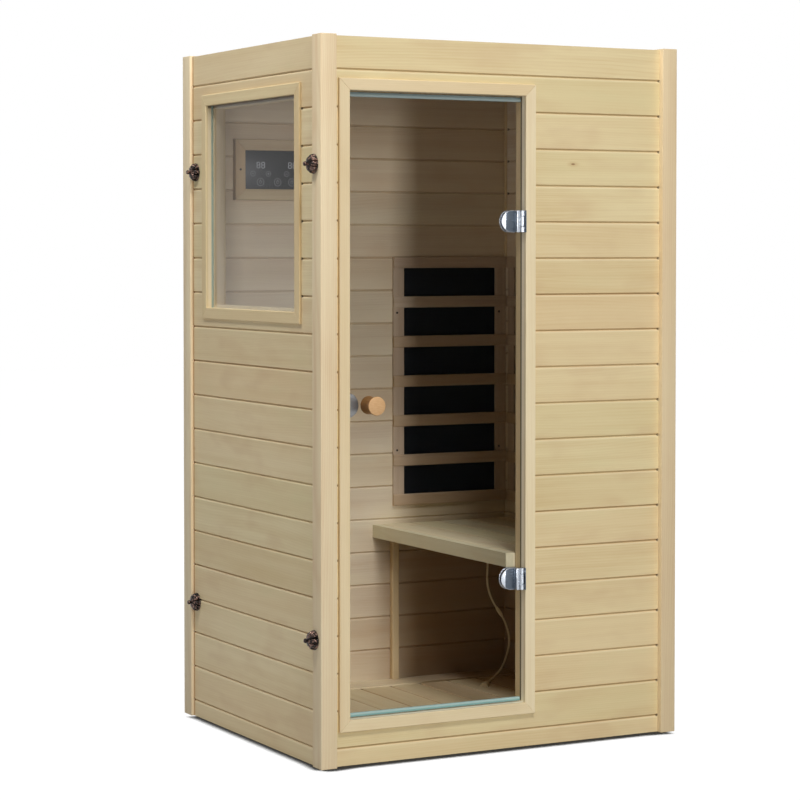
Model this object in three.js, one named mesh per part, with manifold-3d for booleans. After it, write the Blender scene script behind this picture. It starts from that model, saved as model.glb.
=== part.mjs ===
// Infrared sauna cabin for one person: four corner posts, double-skinned board walls, a framed glass
// door, a side window, a bench, two slatted heaters and a control panel.
// Millimetres, +Z up, front towards -Y, origin on the ground at the middle of the footprint.
import * as THREE from "three";
import { mergeVertices } from "three/addons/utils/BufferGeometryUtils.js";
import Module from "manifold-3d";

const wasm = await Module();
wasm.setup();

// Overall size
const CABIN_WIDTH = 1100;
const CABIN_DEPTH = 900;
const CABIN_HEIGHT = 1900;
const FIT = 0.3; // clearance between pieces that touch

// Corner posts, which stand a little below and above the wall panels
const POST_WIDTH = 46;
const POST_DEPTH = 52;
const POST_ROUND = 6;
const POST_LIFT = 1;
const POST_CROWN = 3;
const SIDE_RECESS = 8; // wall boards behind the post faces, at the sides and back
const FRONT_RECESS = 17;

// Wall skins of tongue-and-groove boards on a batten frame
const BOARD_THICK = 12;
const BOARD_PITCH = 98;
const FIRST_JOINT = 47; // height of the lowest joint
const GROOVE_WIDTH = 8;
const GROOVE_DEPTH = 4;
const BATTEN_THICK = 20;
const BATTEN_WIDTH = 40;

// Floor, ceiling and roof
const BEARER_HEIGHT = 36;
const BEARER_WIDTH = 60;
const DECK_THICK = 14;
const CEILING_DROP = 94; // from the cabin's top down to the ceiling
const ROOF_COVER_THICK = 10;
const END_BOARD_THICK = 4;
const END_BOARD_DEPTH = 94; // along the back wall, over the ends of the deck's grooves

// Door opening, its lining and its trim
const DOOR_INSET = 88; // from the cabin's left side to the opening
const DOOR_WIDTH = 530;
const DOOR_SILL = 121; // from the ground up to the opening
const DOOR_HEAD = 143; // from the cabin's top down to the opening
const LINING_THICK = 15;
const TRIM_WIDTH = 31;
const TRIM_CHAMFER = 1.5;
const MITRE_WIDTH = 1.2;
const MITRE_DEPTH = 0.8;
const DOOR_TRIM_PROUD = 10;

// Glass door
const DOOR_GLASS = 8;
const DOOR_GLASS_SETBACK = 24; // glass behind the face of the trim
const DOOR_GAP = 3;
const GLASS_CHAMFER = 1;
const HINGE_HEIGHT = 59;
const HINGE_MIDDLE = 28.5; // height of the knuckle that turns with the door
const HINGE_FROM_END = 336; // from the ends of the opening to the middle of a hinge
const HINGE_PLATE = 6;
const HINGE_REACH = 59; // from the pin to the round end of the plate
const HINGE_NOTCH = 40;
const HINGE_WEB = 13;
const HINGE_FROM_JAMB = 9; // from the pin to the lining
const HINGE_EDGE = 1; // from the pin to the clamp's square edge
const HINGE_FROM_GLASS = 19; // from the pin to the glass
const BARREL_RADIUS = 6;
const PIN_RADIUS = 2.5;
const LEAF_THICK = 2.4;
const LEAF_DEPTH = 22;
const KNOB_INSET = 65; // from the left edge of the opening
const KNOB_RADIUS = 25;
const KNOB_LENGTH = 50;
const KNOB_RIM = 4; // rounding of the front end
const KNOB_FOOT_RADIUS = 24;
const KNOB_WAIST_RADIUS = 21;
const KNOB_WAIST_AT = 28; // from the glass
const BOLT_RADIUS = 4;
const BOLT_PLAY = 0.8; // room round the bolt in the knob and the glass
const BOLT_BITE = 18; // thread inside the knob
const BOLT_HEAD_RADIUS = 7;
const BOLT_CROWN_RADIUS = 4.9;
const BOLT_HEAD = 5;
const WASHER_RADIUS = 14;
const WASHER_THICK = 2;
const STRIKE_RADIUS = 33;
const STRIKE_REACH = 37; // from the edge of the glass to the round end
const STRIKE_THICK = 3;
const CATCH_WIDTH = 14;
const CATCH_HEIGHT = 44;
const CATCH_DEPTH = 12;

// Side window
const WINDOW_INSET = 110; // from the ends of the wall boards to the opening
const WINDOW_HEIGHT = 570;
const WINDOW_HEAD = 149; // from the cabin's top down to the opening
const WINDOW_GLASS = 6;
const WINDOW_REBATE = 8;
const WINDOW_SETBACK = 10; // glass behind the face of the wall boards
const WINDOW_TRIM_PROUD = 7;

// Bench
const BENCH_DEPTH = 458;
const BENCH_TOP = 522; // height of the seat above the ground
const BENCH_RAIL_HEIGHT = 38;
const BENCH_RAIL_THICK = 30;
const BENCH_BOARD = 18;
const BENCH_FRONT_GAP = 3;
const BENCH_LEG_SETBACK = 58; // from the front edge of the seat
const BENCH_LEG_WIDTH = 23;
const BENCH_LEG_DEPTH = 18;
const BENCH_LEG_ROUND = 3;
const LEDGER_HEIGHT = 30;

// Heaters: a black emitter plate, sunk in the inner boards, behind a grille of slats
const SLAT_HEIGHT = 34;
const SLAT_GAP = 85;
const SLAT_COUNT = 7;
const SLAT_THICK = 9;
const SLAT_ROUND = 3;
const GRILLE_LIFT = 54; // above the seat
const STILE_WIDTH = 36;
const STILE_THICK = 2; // behind the slats
const EMITTER_THICK = 4;
const EMITTER_SINK = 7; // behind the face of the inner boards
const BACK_GRILLE_WIDTH = 390;
const BACK_GRILLE_GAP = 1; // from the right wall
const SIDE_GRILLE_GAP = 30; // from the back and front walls

// Control panel on the back wall
const CONTROL_INSET = 82; // from the left wall
const CONTROL_DROP = 141; // from the ceiling
const CONTROL_WIDTH = 276;
const CONTROL_HEIGHT = 176;
const CONTROL_DEPTH = 19;
const CONTROL_BORDER = 32;
const DISPLAY_SETBACK = 5;

// Power box on the roof
const POWER_WIDTH = 280;
const POWER_DEPTH = 180;
const POWER_HEIGHT = 52;
const POWER_ROUND = 8;
const POWER_GAP = 58; // from the back wall
const INLET_RADIUS = 11;
const INLET_LENGTH = 20;

// Heater cable under the bench
const CABLE_RADIUS = 3;
const CABLE_SIDES = 8;
const CONNECTOR_RADIUS = 5.5;
const CONNECTOR_FROM = 0.362; // where the in-line connector starts and ends, as shares of the length
const CONNECTOR_TO = 0.424;
const CABLE_FROM_WALL = 91; // place of the cable's wall gland, from the right wall and above the deck
const CABLE_RISE = 390;
const GLAND_RADIUS = 10;
const GLAND_NECK_RADIUS = 7;
const GLAND_TIP_RADIUS = 4.5;
const GLAND_LENGTH = 22;
const HOOD_RADIUS = 12;
const HOOD_LENGTH = 34;
const CABLE_LIFT = 3.5; // axis of the cable above the deck where it lies on it

// Rosette knobs that turn the bolts between wall panels and posts
const ROSETTE_RADIUS = 26;
const ROSETTE_VALLEY = 22; // radius between the lobes
const ROSETTE_LOBES = 8;
const ROSETTE_THICK = 5;
const BOSS_RADIUS = 12;
const BOSS_SHOULDER = 4; // above the plate
const BOSS_WAIST_RADIUS = 7;
const BOSS_WAIST_AT = 13;
const NECK_RADIUS = 3;
const BALL_RADIUS = 6;
const BALL_FACET = 0.8; // height of the ball's facets, as a share of its radius
const BALL_FACET_RADIUS = 3.6;
const ROSETTE_PROUD = 31;
const LATCH_RISE = 333; // from the ground to the lower knobs
const LATCH_DROP = 334; // from the cabin's top to the upper knobs
const LATCH_FRONT_INSET = 40; // from the cabin's front
const LATCH_REAR_INSET = 78; // from the cabin's back

// Planes that several pieces share
const WALL_THICK = 2 * BOARD_THICK + BATTEN_THICK;
const SIDE_OUTER = CABIN_WIDTH / 2 - SIDE_RECESS;
const SIDE_INNER = SIDE_OUTER - WALL_THICK;
const BACK_OUTER = CABIN_DEPTH / 2 - SIDE_RECESS;
const BACK_INNER = BACK_OUTER - WALL_THICK;
const FRONT_OUTER = FRONT_RECESS - CABIN_DEPTH / 2;
const FRONT_INNER = FRONT_OUTER + WALL_THICK;
const PANEL_BOTTOM = POST_LIFT;
const PANEL_TOP = CABIN_HEIGHT - POST_CROWN;
const PANEL_END_X = CABIN_WIDTH / 2 - POST_WIDTH - FIT;
const PANEL_END_Y = CABIN_DEPTH / 2 - POST_DEPTH - FIT;
const ROOM_X = SIDE_INNER - FIT;
const ROOM_FRONT = FRONT_INNER + FIT;
const ROOM_BACK = BACK_INNER - FIT;
const DECK_TOP = BEARER_HEIGHT + DECK_THICK;
const CEILING_HEIGHT = CABIN_HEIGHT - CEILING_DROP;
const DOOR_LEFT = DOOR_INSET - CABIN_WIDTH / 2;
const DOOR_RIGHT = DOOR_LEFT + DOOR_WIDTH;
const DOOR_TOP = CABIN_HEIGHT - DOOR_HEAD;
const WINDOW_TOP = CABIN_HEIGHT - WINDOW_HEAD;
const WINDOW_END = PANEL_END_Y - WINDOW_INSET;
const BENCH_EDGE = ROOM_X - BENCH_DEPTH;
const ROOM_LENGTH = ROOM_BACK - ROOM_FRONT;
const GRILLE_HEIGHT = SLAT_COUNT * SLAT_HEIGHT + (SLAT_COUNT - 1) * SLAT_GAP;
const GRILLE_BOTTOM = BENCH_TOP + GRILLE_LIFT;
const GRILLE_DEPTH = SLAT_THICK + STILE_THICK;
const EMITTER_INSET = SLAT_HEIGHT / 2; // emitter inside the outline of its grille
const BACK_GRILLE_LEFT = ROOM_X - BACK_GRILLE_GAP - BACK_GRILLE_WIDTH;
const SIDE_GRILLE_REAR = ROOM_BACK - SIDE_GRILLE_GAP;
const SIDE_GRILLE_WIDTH = ROOM_LENGTH - 2 * SIDE_GRILLE_GAP;

const X = new THREE.Vector3(1, 0, 0);
const Y = new THREE.Vector3(0, 1, 0);
const Z = new THREE.Vector3(0, 0, 1);
const MINUS_X = X.clone().negate();
const MINUS_Y = Y.clone().negate();
const MINUS_Z = Z.clone().negate();

// Finishes
const finish = (color, roughness, metalness = 0) =>
  new THREE.MeshStandardMaterial({ color, roughness, metalness });
const PALE_WOOD = finish(0xe4cfa4, 0.6);
const BENCH_WOOD = finish(0xd9c49a, 0.55);
const FRAME_WOOD = finish(0xc9ae80, 0.75);
const TINTED_GLASS = new THREE.MeshStandardMaterial({
  color: 0x6b5c4c,
  roughness: 0.05,
  transparent: true,
  opacity: 0.45,
});
const CHROME = finish(0xc8ccd2, 0.15, 1);
const BRONZE = finish(0x3a2620, 0.4, 0.9);
const BLACK_EMITTER = finish(0x0b0c0e, 0.7);
const DARK_DISPLAY = finish(0x45474b, 0.2);
const CREAM_CABLE = finish(0xc9b68c, 0.5);
const GREY_METAL = finish(0x9a9da0, 0.45, 0.6);
const DARK_PLASTIC = finish(0x2a2a2c, 0.5);

// Closed meshes become solids for joining and cutting, and come back as geometry.
function toSolid(geometry) {
  const bare = geometry.clone();
  bare.deleteAttribute("normal");
  bare.deleteAttribute("uv");
  const merged = mergeVertices(bare, 1e-4);
  const vertProperties = new Float32Array(merged.attributes.position.array);
  const triVerts = new Uint32Array(merged.index.array);
  return new wasm.Manifold(new wasm.Mesh({ numProp: 3, vertProperties, triVerts }));
}

function toGeometry(solid) {
  const mesh = solid.getMesh();
  const geometry = new THREE.BufferGeometry();
  geometry.setAttribute("position", new THREE.BufferAttribute(mesh.vertProperties, 3));
  geometry.setIndex(new THREE.BufferAttribute(mesh.triVerts, 1));
  geometry.computeVertexNormals();
  return geometry;
}

const join = (...pieces) => toGeometry(pieces.map(toSolid).reduce((sum, piece) => sum.add(piece)));

const cut = (body, ...tools) =>
  toGeometry(tools.map(toSolid).reduce((rest, tool) => rest.subtract(tool), toSolid(body)));

// Basic forms, each given by the limits of its place
function block([x0, x1], [y0, y1], [z0, z1]) {
  const box = new THREE.BoxGeometry(x1 - x0, y1 - y0, z1 - z0);
  return box.translate((x0 + x1) / 2, (y0 + y1) / 2, (z0 + z1) / 2);
}

function rectangle([x0, x1], [y0, y1], target = new THREE.Shape()) {
  target.moveTo(x0, y0);
  target.lineTo(x1, y0);
  target.lineTo(x1, y1);
  target.lineTo(x0, y1);
  target.closePath();
  return target;
}

function roundedRectangle([x0, x1], [y0, y1], radius) {
  const shape = new THREE.Shape();
  shape.absarc(x1 - radius, y1 - radius, radius, 0, Math.PI / 2);
  shape.absarc(x0 + radius, y1 - radius, radius, Math.PI / 2, Math.PI);
  shape.absarc(x0 + radius, y0 + radius, radius, Math.PI, 1.5 * Math.PI);
  shape.absarc(x1 - radius, y0 + radius, radius, 1.5 * Math.PI, 2 * Math.PI);
  return shape;
}

const extrude = (shape, depth, curveSegments = 2) =>
  new THREE.ExtrudeGeometry(shape, { depth, curveSegments, bevelEnabled: false });

// Turns a geometry so that its own x and y lie along the given directions.
function turned(geometry, xTo, yTo) {
  const zTo = new THREE.Vector3().crossVectors(xTo, yTo);
  return geometry.applyMatrix4(new THREE.Matrix4().makeBasis(xTo, yTo, zTo));
}

function cylinder(radius, bottom, top, sides = 20) {
  const body = new THREE.CylinderGeometry(radius, radius, top - bottom, sides);
  return body.rotateX(Math.PI / 2).translate(0, 0, (bottom + top) / 2);
}

// A turned piece, from pairs of radius and height
const lathe = (profile, sides) =>
  new THREE.LatheGeometry(profile.map(([radius, height]) => new THREE.Vector2(radius, height)), sides);

const cabin = new THREE.Group();

function add(name, geometry, material, position = [0, 0, 0], parent = cabin) {
  const mesh = new THREE.Mesh(geometry, material);
  mesh.name = name;
  mesh.position.set(...position);
  parent.add(mesh);
  return mesh;
}

// Board skins: a section with a V-groove at every joint, drawn out along the boards. The visible face
// lies at the mesh's own origin and looks along "out"; "across" runs from board to board.
function jointsBetween(low, high, first) {
  const joints = [];
  const start = first + BOARD_PITCH * Math.ceil((low + GROOVE_WIDTH - first) / BOARD_PITCH);
  for (let joint = start; joint < high - GROOVE_WIDTH; joint += BOARD_PITCH) {
    joints.push(joint);
  }
  return joints;
}

function boardSkin(out, across, length, [low, high], first = FIRST_JOINT, thick = BOARD_THICK) {
  const section = new THREE.Shape();
  section.moveTo(-thick, low);
  section.lineTo(0, low);
  for (const joint of jointsBetween(low, high, first)) {
    section.lineTo(0, joint - GROOVE_WIDTH / 2);
    section.lineTo(-GROOVE_DEPTH, joint);
    section.lineTo(0, joint + GROOVE_WIDTH / 2);
  }
  section.lineTo(0, high);
  section.lineTo(-thick, high);
  section.closePath();
  return turned(extrude(section, length).translate(0, 0, -length / 2), out, across);
}

// Flat frames with holes. A front frame lies in x and z and reaches forwards from its own origin; a side
// frame lies in y and z and reaches to the right.
function plate(side, outline, holes, thick) {
  const slab = ([across, up], depth) => (side ? block(depth, across, up) : block(across, depth, up));
  const depth = side ? [0, thick] : [-thick, 0];
  return cut(slab(outline, depth), ...holes.map((hole) => slab(hole, [-2 * thick, 2 * thick])));
}

const grow = ([low, high], by) => [low - by, high + by];

// A mitred trim: a ring with chamfered front edges and a fine V-groove along each mitre.
function mitredTrim(inner, border, proud) {
  const outer = inner.map((range) => grow(range, border));
  const shape = rectangle(...outer);
  shape.holes = [rectangle(...inner, new THREE.Path())];
  const ring = new THREE.ExtrudeGeometry(shape, {
    depth: proud,
    bevelEnabled: true,
    bevelThickness: TRIM_CHAMFER,
    bevelSize: TRIM_CHAMFER,
    bevelOffset: -TRIM_CHAMFER,
    bevelSegments: 1,
  });
  const backs = block(grow(outer[0], border), grow(outer[1], border), [-border, TRIM_CHAMFER]);
  const face = proud + TRIM_CHAMFER;
  const mitres = [];
  for (const [sideX, x] of inner[0].entries()) {
    for (const [sideY, y] of inner[1].entries()) {
      const groove = new THREE.Shape();
      groove.moveTo(-MITRE_WIDTH / 2, MITRE_DEPTH / 4);
      groove.lineTo(0, -MITRE_DEPTH);
      groove.lineTo(MITRE_WIDTH / 2, MITRE_DEPTH / 4);
      groove.closePath();
      const reach = 2 * border;
      const blade = extrude(groove, reach).rotateX(Math.PI / 2).translate(0, border / 5, 0);
      const angle = Math.atan2(sideY ? 1 : -1, sideX ? 1 : -1) + Math.PI / 2;
      mitres.push(blade.rotateZ(angle).translate(x, y, face));
    }
  }
  return cut(ring, backs, ...mitres).translate(0, 0, -TRIM_CHAMFER);
}

// Corner posts, rounded on every long edge
function post() {
  const section = roundedRectangle([0, POST_WIDTH], [0, POST_DEPTH], POST_ROUND);
  return extrude(section, CABIN_HEIGHT);
}
for (const [name, atRight, atBack] of [
  ["front_left_post", false, false],
  ["front_right_post", true, false],
  ["rear_left_post", false, true],
  ["rear_right_post", true, true],
]) {
  const x = atRight ? CABIN_WIDTH / 2 - POST_WIDTH : -CABIN_WIDTH / 2;
  const y = atBack ? CABIN_DEPTH / 2 - POST_DEPTH : -CABIN_DEPTH / 2;
  add(name, post(), PALE_WOOD, [x, y, 0]);
}

// Base: a bearer frame with a middle bearer, and the deck of boards that run front to back
const bearers = block([-ROOM_X, ROOM_X], [ROOM_FRONT, ROOM_BACK], [0, BEARER_HEIGHT]);
const bayDepth = [ROOM_FRONT + BEARER_WIDTH, ROOM_BACK - BEARER_WIDTH];
const bayRise = [-BEARER_HEIGHT, 2 * BEARER_HEIGHT];
const leftBay = block([BEARER_WIDTH - ROOM_X, -BEARER_WIDTH / 2], bayDepth, bayRise);
const rightBay = block([BEARER_WIDTH / 2, ROOM_X - BEARER_WIDTH], bayDepth, bayRise);
add("base_frame", cut(bearers, leftBay, rightBay), FRAME_WOOD);

const roomMiddle = (ROOM_BACK + ROOM_FRONT) / 2;
const deck = boardSkin(Z, X, ROOM_LENGTH, [-ROOM_X, ROOM_X], BOARD_PITCH / 2, DECK_THICK);
add("floor_deck", deck, PALE_WOOD, [0, roomMiddle, DECK_TOP]);

// Wall panels: outer skin, batten frame and inner skin
const panelRise = [PANEL_BOTTOM, PANEL_TOP];
const windowOpening = [
  [-WINDOW_END, WINDOW_END],
  [WINDOW_TOP - WINDOW_HEIGHT, WINDOW_TOP],
];
const doorOpening = [
  [DOOR_LEFT, DOOR_RIGHT],
  [DOOR_SILL, DOOR_TOP],
];
const windowHole = windowOpening.map((range) => grow(range, LINING_THICK + FIT));
const doorHole = doorOpening.map((range) => grow(range, LINING_THICK + FIT));
const throughWall = [-WALL_THICK, WALL_THICK];
const panelBay = [PANEL_BOTTOM + BATTEN_WIDTH, PANEL_TOP - BATTEN_WIDTH];

const sideLength = 2 * PANEL_END_Y;
const sideBay = [BATTEN_WIDTH - PANEL_END_Y, PANEL_END_Y - BATTEN_WIDTH];
const windowCut = () => block(throughWall, ...windowHole);
add("left_outer_boards", cut(boardSkin(MINUS_X, Z, sideLength, panelRise), windowCut()), PALE_WOOD,
  [-SIDE_OUTER, 0, 0]);
add("left_inner_boards", cut(boardSkin(X, Z, sideLength, panelRise), windowCut()), PALE_WOOD,
  [-SIDE_INNER, 0, 0]);
const belowWindow = [panelBay[0], windowHole[1][0] - BATTEN_WIDTH];
add("left_wall_frame",
  plate(true, [[-PANEL_END_Y, PANEL_END_Y], panelRise], [windowHole, [sideBay, belowWindow]], BATTEN_THICK),
  FRAME_WOOD, [BOARD_THICK - SIDE_OUTER, 0, 0]);

const emitterRoom = (from, width) => grow([from, from + width], FIT - EMITTER_INSET);
const emitterRise = emitterRoom(GRILLE_BOTTOM, GRILLE_HEIGHT);
const sideEmitterDepth = emitterRoom(SIDE_GRILLE_REAR - SIDE_GRILLE_WIDTH, SIDE_GRILLE_WIDTH);
const sideEmitterCut = block(throughWall, sideEmitterDepth, emitterRise);
const backEmitterCut = block(emitterRoom(BACK_GRILLE_LEFT, BACK_GRILLE_WIDTH), throughWall, emitterRise);
add("right_outer_boards", boardSkin(X, Z, sideLength, panelRise), PALE_WOOD, [SIDE_OUTER, 0, 0]);
add("right_inner_boards", cut(boardSkin(MINUS_X, Z, sideLength, panelRise), sideEmitterCut), PALE_WOOD,
  [SIDE_INNER, 0, 0]);
add("right_wall_frame",
  plate(true, [[-PANEL_END_Y, PANEL_END_Y], panelRise], [[sideBay, panelBay]], BATTEN_THICK),
  FRAME_WOOD, [SIDE_INNER + BOARD_THICK, 0, 0]);

const backBay = [BATTEN_WIDTH - ROOM_X, ROOM_X - BATTEN_WIDTH];
add("back_outer_boards", boardSkin(Y, Z, 2 * PANEL_END_X, panelRise), PALE_WOOD, [0, BACK_OUTER, 0]);
add("back_inner_boards", cut(boardSkin(MINUS_Y, Z, 2 * ROOM_X, panelRise), backEmitterCut), PALE_WOOD,
  [0, BACK_INNER, 0]);
add("back_wall_frame", plate(false, [[-ROOM_X, ROOM_X], panelRise], [[backBay, panelBay]], BATTEN_THICK),
  FRAME_WOOD, [0, BACK_OUTER - BOARD_THICK, 0]);

const doorCut = () => block(doorHole[0], throughWall, doorHole[1]);
const besideDoor = [doorHole[0][1] + BATTEN_WIDTH, backBay[1]];
add("front_outer_boards", cut(boardSkin(MINUS_Y, Z, 2 * PANEL_END_X, panelRise), doorCut()), PALE_WOOD,
  [0, FRONT_OUTER, 0]);
add("front_inner_boards", cut(boardSkin(Y, Z, 2 * ROOM_X, panelRise), doorCut()), PALE_WOOD,
  [0, FRONT_INNER, 0]);
add("front_wall_frame",
  plate(false, [[-ROOM_X, ROOM_X], panelRise], [doorHole, [besideDoor, panelBay]], BATTEN_THICK),
  FRAME_WOOD, [0, FRONT_INNER - BOARD_THICK, 0]);

// Ceiling boards, roof cover and the power box that switches the heaters
const ceiling = boardSkin(MINUS_Z, X, ROOM_LENGTH, [-ROOM_X, ROOM_X], BOARD_PITCH / 2);
add("ceiling_boards", ceiling, PALE_WOOD, [0, roomMiddle, CEILING_HEIGHT]);
const coverBottom = CEILING_HEIGHT + BOARD_THICK;
const coverTop = coverBottom + ROOF_COVER_THICK;
add("roof_cover", block([-ROOM_X, ROOM_X], [ROOM_FRONT, ROOM_BACK], [coverBottom, coverTop]), FRAME_WOOD);

const powerCase = roundedRectangle([-POWER_WIDTH / 2, POWER_WIDTH / 2], [-POWER_DEPTH / 2, POWER_DEPTH / 2],
  POWER_ROUND);
const inlet = cylinder(INLET_RADIUS, 0, INLET_LENGTH + POWER_ROUND, 16)
  .rotateX(-Math.PI / 2)
  .translate(0, POWER_DEPTH / 2 - POWER_ROUND, POWER_HEIGHT / 2);
const powerY = ROOM_BACK - POWER_GAP - POWER_DEPTH / 2;
add("power_box", join(extrude(powerCase, POWER_HEIGHT), inlet), GREY_METAL, [0, powerY, coverTop]);

// Door lining, and the trim that covers its joint with the boards
const liningRing = (opening) => [opening.map((range) => grow(range, LINING_THICK)), [opening]];
add("door_lining", plate(false, ...liningRing(doorOpening), WALL_THICK), PALE_WOOD, [0, FRONT_INNER, 0]);
const doorTrim = turned(mitredTrim(doorOpening, TRIM_WIDTH, DOOR_TRIM_PROUD), X, Z);
add("door_trim", doorTrim, PALE_WOOD, [0, FRONT_OUTER, 0]);

// Window lining with a rebate for the pane, the pane, and the trims on both faces
const windowInside = windowOpening.map((range) => grow(range, -WINDOW_REBATE));
const paneFront = WINDOW_SETBACK;
const paneBack = paneFront + WINDOW_GLASS;
const outerLining = plate(true, ...liningRing(windowOpening), paneBack + FIT);
const innerRing = [liningRing(windowOpening)[0], [windowInside]];
const innerLining = plate(true, ...innerRing, WALL_THICK - paneBack - FIT).translate(paneBack + FIT, 0, 0);
add("window_lining", join(outerLining, innerLining), PALE_WOOD, [-SIDE_OUTER, 0, 0]);
const pane = block([paneFront, paneBack], ...windowOpening.map((range) => grow(range, -FIT)));
add("window_glass", pane, TINTED_GLASS, [-SIDE_OUTER, 0, 0]);
const windowTrim = turned(mitredTrim(windowOpening, TRIM_WIDTH, WINDOW_TRIM_PROUD), MINUS_Y, Z);
add("window_outer_trim", windowTrim, PALE_WOOD, [-SIDE_OUTER, 0, 0]);
const insideTrim = turned(mitredTrim(windowInside, TRIM_WIDTH + WINDOW_REBATE, WINDOW_TRIM_PROUD), Y, Z);
add("window_inner_trim", insideTrim, PALE_WOOD, [-SIDE_INNER, 0, 0]);

// Bench: a seat of boards with a deep front rail, on two legs and a wall ledger
const seatFront = ROOM_FRONT + BENCH_FRONT_GAP;
const seatLength = ROOM_BACK - seatFront;
const seat = boardSkin(Z, X, seatLength, [BENCH_EDGE, ROOM_X], BENCH_EDGE + BENCH_RAIL_THICK, BENCH_BOARD);
const rail = block([BENCH_EDGE, BENCH_EDGE + BENCH_RAIL_THICK], [-seatLength / 2, seatLength / 2],
  [-BENCH_RAIL_HEIGHT, -BENCH_BOARD / 2]);
const seatUnder = BENCH_TOP - BENCH_BOARD;
add("bench_seat", join(seat, rail), BENCH_WOOD, [0, (seatFront + ROOM_BACK) / 2, BENCH_TOP]);
const legSection = roundedRectangle([0, BENCH_LEG_WIDTH], [0, BENCH_LEG_DEPTH], BENCH_LEG_ROUND);
const legX = BENCH_EDGE + BENCH_LEG_SETBACK;
const leg = (y, foot) => extrude(legSection, seatUnder - foot).translate(legX, y, foot);
const endBoardTop = DECK_TOP + END_BOARD_THICK;
add("bench_rear_leg", leg(ROOM_BACK - BENCH_LEG_DEPTH, endBoardTop + FIT), BENCH_WOOD);
add("bench_front_leg", leg(seatFront, DECK_TOP), BENCH_WOOD);
add("bench_ledger",
  block([ROOM_X - BENCH_LEG_WIDTH, ROOM_X], [seatFront, ROOM_BACK], [seatUnder - LEDGER_HEIGHT, seatUnder]),
  BENCH_WOOD);
add("floor_end_board",
  block([-ROOM_X, ROOM_X], [ROOM_BACK - END_BOARD_DEPTH, ROOM_BACK], [DECK_TOP, endBoardTop]), PALE_WOOD);

// Heaters: stiles carry rounded slats in front of a black emitter. Modelled facing -y, from x = 0.
function heaterGrille(width, stileCount) {
  const parts = [];
  for (let i = 0; i < stileCount; i += 1) {
    const x = ((width - STILE_WIDTH) * i) / (stileCount - 1);
    parts.push(block([x, x + STILE_WIDTH], [SLAT_THICK / 2, GRILLE_DEPTH], [0, GRILLE_HEIGHT]));
  }
  const section = roundedRectangle([0, SLAT_THICK], [0, SLAT_HEIGHT], SLAT_ROUND);
  for (let i = 0; i < SLAT_COUNT; i += 1) {
    const slat = turned(extrude(section, width, 1), Y, Z);
    parts.push(slat.translate(0, 0, i * (SLAT_HEIGHT + SLAT_GAP)));
  }
  return join(...parts);
}

function addHeater(prefix, width, stileCount, group) {
  const emitterFront = GRILLE_DEPTH + FIT + EMITTER_SINK;
  add(`${prefix}_heater_grille`, heaterGrille(width, stileCount), BENCH_WOOD, [0, 0, 0], group);
  add(`${prefix}_heater`,
    block([EMITTER_INSET, width - EMITTER_INSET], [emitterFront, emitterFront + EMITTER_THICK],
      [EMITTER_INSET, GRILLE_HEIGHT - EMITTER_INSET]), BLACK_EMITTER, [0, 0, 0], group);
  cabin.add(group);
}
const backHeater = new THREE.Group();
backHeater.position.set(BACK_GRILLE_LEFT, ROOM_BACK - GRILLE_DEPTH, GRILLE_BOTTOM);
addHeater("back", BACK_GRILLE_WIDTH, 2, backHeater);
const sideHeater = new THREE.Group();
sideHeater.position.set(ROOM_X - GRILLE_DEPTH, SIDE_GRILLE_REAR, GRILLE_BOTTOM);
sideHeater.rotation.z = -Math.PI / 2;
addHeater("side", SIDE_GRILLE_WIDTH, 3, sideHeater);

// Control panel: a mitred frame round a flat touch display
const controlLeft = CONTROL_INSET - ROOM_X;
const controlTop = CEILING_HEIGHT - CONTROL_DROP;
const controlOutline = [
  [controlLeft, controlLeft + CONTROL_WIDTH],
  [controlTop - CONTROL_HEIGHT, controlTop],
];
const display = controlOutline.map((range) => grow(range, -CONTROL_BORDER));
const controlFrame = turned(mitredTrim(display, CONTROL_BORDER, CONTROL_DEPTH), X, Z);
add("control_frame", controlFrame, BENCH_WOOD, [0, ROOM_BACK, 0]);
const displayFit = display.map((range) => grow(range, -FIT));
const displayDepth = [DISPLAY_SETBACK - CONTROL_DEPTH, 0];
add("control_display", block(displayFit[0], displayDepth, displayFit[1]), DARK_DISPLAY, [0, ROOM_BACK, 0]);

// Heater cable: out of the back wall, down in a loose bow, along the deck and into a hood
// Each point is given by its distance from the right wall, from the back wall and above the deck.
const cablePoint = (fromWall, fromBack, rise) =>
  new THREE.Vector3(ROOM_X - fromWall, ROOM_BACK - fromBack, DECK_TOP + rise);
const glandTip = GLAND_LENGTH + 2 * FIT;
const cableRoute = new THREE.CatmullRomCurve3([
  cablePoint(CABLE_FROM_WALL, glandTip, CABLE_RISE),
  cablePoint(CABLE_FROM_WALL, glandTip + 2 * CABLE_RADIUS, CABLE_RISE),
  cablePoint(91, 38, 387),
  cablePoint(91, 47, 378),
  cablePoint(91, 52, 364),
  cablePoint(91, 53, 331),
  cablePoint(94, 56, 296),
  cablePoint(92, 60, 262),
  cablePoint(78, 66, 221),
  cablePoint(56, 73, 185),
  cablePoint(39, 80, 145),
  cablePoint(35, 88, 105),
  cablePoint(50, 98, 62),
  cablePoint(78, 112, 26),
  cablePoint(103, 125, 11),
  cablePoint(127, 144, 1 + CABLE_LIFT),
  cablePoint(156, 176, CABLE_LIFT),
  cablePoint(189, 214, CABLE_LIFT),
], false, "centripetal");
const cableLength = cableRoute.getLength();

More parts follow.
